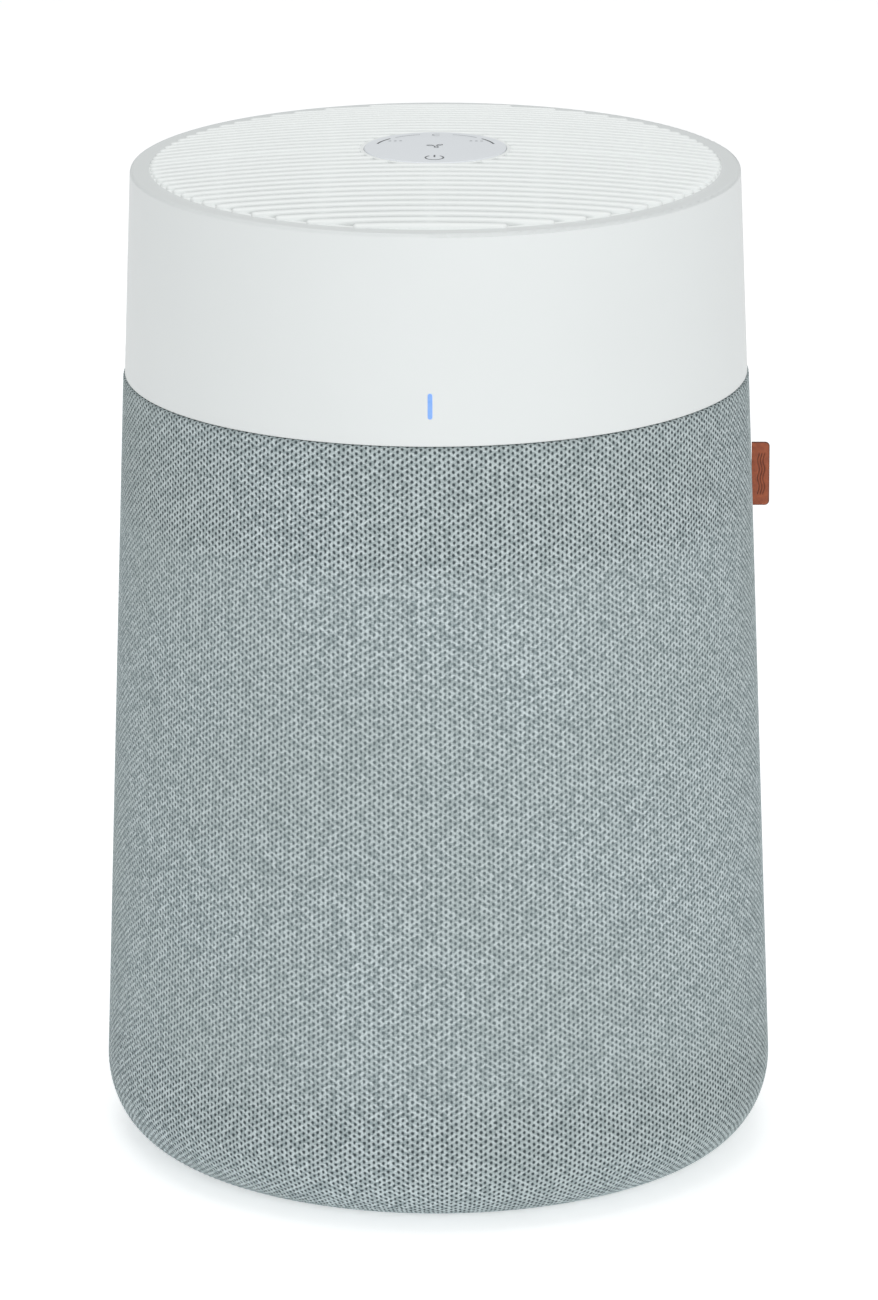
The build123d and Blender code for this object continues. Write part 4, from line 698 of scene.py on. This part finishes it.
def build_sleeve_panel(name, start):
    """Half of the sleeve, from one side seam to the other: knit relief with a pit at each hole."""
    radius, height = sleeve_profile()
    rows = len(radius)
    columns = KNIT_COLUMNS + 1  # two to a stitch over half the girth
    slope_r = np.gradient(radius)
    slope_z = np.gradient(height)
    length = np.hypot(slope_r, slope_z)
    out_r, out_z = -slope_z / length, slope_r / length
    index_u = np.arange(columns)
    index_v = np.arange(rows)
    angle = start + math.pi * index_u / (columns - 1)
    pit = ((index_u[None, :] + index_v[:, None]) % 2 == 0).astype(float)
    relief = KNIT_RELIEF * (0.35 - pit)
    from_seam = np.minimum(angle - start, start + math.pi - angle)[None, :] * radius[:, None]
    sewn = relief * 0.3 - SEAM_DEPTH * (1 - from_seam / SEAM_WIDTH)
    relief = np.where(from_seam < SEAM_WIDTH, sewn, relief)
    relief[:2, :] = -0.05 * MM
    r = radius[:, None] + out_r[:, None] * relief
    z = height[:, None] + out_z[:, None] * relief
    x, y = r * np.cos(angle)[None, :], r * np.sin(angle)[None, :]
    points = np.stack([x, y, z + 0 * r], -1).reshape(-1, 3)
    faces = np.array(ring_faces(rows, columns, False))[:, ::-1]
    piece = add_piece(name, points, faces, LOOKS["knit_fabric"], "housing")
    stitches = np.stack(np.meshgrid(index_u / 2.0, index_v / 2.0), -1).reshape(-1, 2)
    layer = piece.data.uv_layers.new(name="stitches")
    loops = np.zeros(len(piece.data.loops), np.int32)
    piece.data.loops.foreach_get("vertex_index", loops)
    layer.data.foreach_set("uv", stitches[loops].astype(np.float32).ravel())
    return piece


sleeve_front = build_sleeve_panel("sleeve_front", math.pi)
sleeve_back = build_sleeve_panel("sleeve_back", 0.0)


def pucker(angle):
    """Gathers of the elastic hem."""
    return PUCKER_HEIGHT * math.sin(angle * PUCKER_COUNT)


hem_section = rounded_section(
    HEM_OUTER - HEM_WIDTH, HEM_OUTER, SLEEVE_BOTTOM - 0.1 * MM, HEM_TOP, 0.7 * MM
)
hem_points, hem_faces = turned(hem_section, HEM_STEPS, wobble=pucker)
elastic_hem = add_piece("elastic_hem", hem_points, hem_faces, LOOKS["tab_fabric"], "housing")
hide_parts("bottom_hem")
for piece in (sleeve_front, sleeve_back):
    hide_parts("fabric_sleeve")


# ---------------------------------------------------------------- leather tag
def build_tag():
    """Tag with rounded corners and edges, three pressed waves, and a map that is high near the edge and
    along the waves.
    """
    height = TAG_HIGH.z - TAG_LOW.z
    middle = (TAG_HIGH.z + TAG_LOW.z) / 2
    root = TAG_LOW.x + 0.2 * MM
    reach = TAG_HIGH.x - root
    thick = (TAG_HIGH.y - TAG_LOW.y) / 2
    round_by = 2.2 * MM
    across, along = 36, 132
    points, near = [], []
    for side in (-1, 1):
        for j in range(along + 1):
            for i in range(across + 1):
                u, v = i / across, j / along * 2 - 1
                x, z = reach * u, v * height / 2
                over_x = max(0.0, x - (reach - round_by))
                over_z = max(0.0, abs(z) - (height / 2 - round_by))
                if over_x > 0 and over_z > 0:
                    length = max(over_x, over_z) / math.hypot(over_x, over_z)
                    x = reach - round_by + over_x * length
                    z = math.copysign(height / 2 - round_by + over_z * length, z)
                inset = min(reach - x, height / 2 - abs(z))
                if over_x > 0 and over_z > 0:
                    inset = round_by - math.hypot(
                        x - (reach - round_by), abs(z) - (height / 2 - round_by)
                    )
                inset = max(inset, 0.0)
                rim = 0.55 * MM
                y = thick
                if inset < rim:
                    y = thick * math.sqrt(max(0.0, 1 - (1 - min(inset / rim, 1)) ** 2))
                groove = 0.0
                for line in (-1, 0, 1):
                    wave = reach * 0.52 + line * 1.25 * MM + 0.42 * MM * math.sin(z / (1.35 * MM))
                    fade = min(1.0, max(0.0, (height * 0.34 - abs(z)) / (0.8 * MM)))
                    groove = max(groove, fade * math.exp(-(((x - wave) / (0.24 * MM)) ** 2)))
                y -= 0.3 * MM * groove
                points.append((root + x, side * y, middle + z))
                near.append(max(min(1.0, max(0.0, 1 - inset / (0.7 * MM))), 0.75 * groove))
    columns = across + 1
    count = columns * (along + 1)
    front = ring_faces(along + 1, columns, False)
    faces = [tuple(f) for f in front] + [tuple(count + i for i in reversed(f)) for f in front]
    border = list(range(columns)) + [columns * j + across for j in range(1, along + 1)]
    border += [columns * along + i for i in range(across - 1, -1, -1)]
    border += [columns * j for j in range(along - 1, 0, -1)]
    for a, b in zip(border, border[1:] + border[:1]):
        faces.append((b, a, count + a, count + b))
    return points, faces, near


tag_points, tag_faces, tag_near = build_tag()
tag = add_piece("tag_leather", tag_points, tag_faces, LOOKS["tan_leather"])
edge_map = tag.data.attributes.new("edge", "FLOAT", "POINT")
edge_map.data.foreach_set("value", np.array(tag_near, np.float32))
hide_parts("leather_tag")
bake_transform(tag)


# ---------------------------------------------------------------- soft parts of the filter and base
def foam_ring(name, node, body, radius):
    """Foam ring with soft corners in the place of a CAD ring."""
    low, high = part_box(node)
    outer = high.x
    inner = min(math.hypot(v.co.x, v.co.y) for v in NODES[node].data.vertices)
    ring = turned(rounded_section(inner, outer, low.z, high.z, radius), FOAM_STEPS)
    piece = add_piece(name, *ring, LOOKS["seal_foam"], body)
    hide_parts(node)


foam_ring("filter_seal_ring", "filter_gasket", "filter", 1.8 * MM)
foam_ring("base_seal_ring", "base_seal", "base", 0.5 * MM)


def build_pull_tab():
    """Woven tape that hangs in the filter's bore, bowed a little and narrower at its lower end."""
    low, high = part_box("filter_pull_tab")
    columns, rows = 25, 63
    face = (low.x + high.x) / 2
    points = []
    for j in range(rows):
        for i in range(columns):
            u, v = i / (columns - 1) * 2 - 1, j / (rows - 1)
            bow = 0.25 * MM * math.cos(u * math.pi / 2) * math.sin(v * math.pi)
            weave = 0.06 * MM * (-1) ** (i + j)
            narrow = 1 - 0.25 * max(0.0, (0.08 - v) / 0.08) ** 2
            side = u * (high.y - low.y) / 2 * narrow
            points.append((face - bow + weave, side, low.z + (high.z - low.z) * v))
    return points, ring_faces(rows, columns, False)


pull_tab = add_piece("pull_tape", *build_pull_tab(), LOOKS["tab_fabric"], "filter")
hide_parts("filter_pull_tab")

# ---------------------------------------------------------------- floor
FLOOR_REACH = 14.0
FLOOR_STEPS = 24
floor_line = [FLOOR_REACH * (2 * step / FLOOR_STEPS - 1) for step in range(FLOOR_STEPS + 1)]
floor_points = [(x, y, 0.0) for y in floor_line for x in floor_line]
floor_faces = ring_faces(FLOOR_STEPS + 1, FLOOR_STEPS + 1, False)
floor = add_piece("studio_floor", floor_points, floor_faces, floor_look)
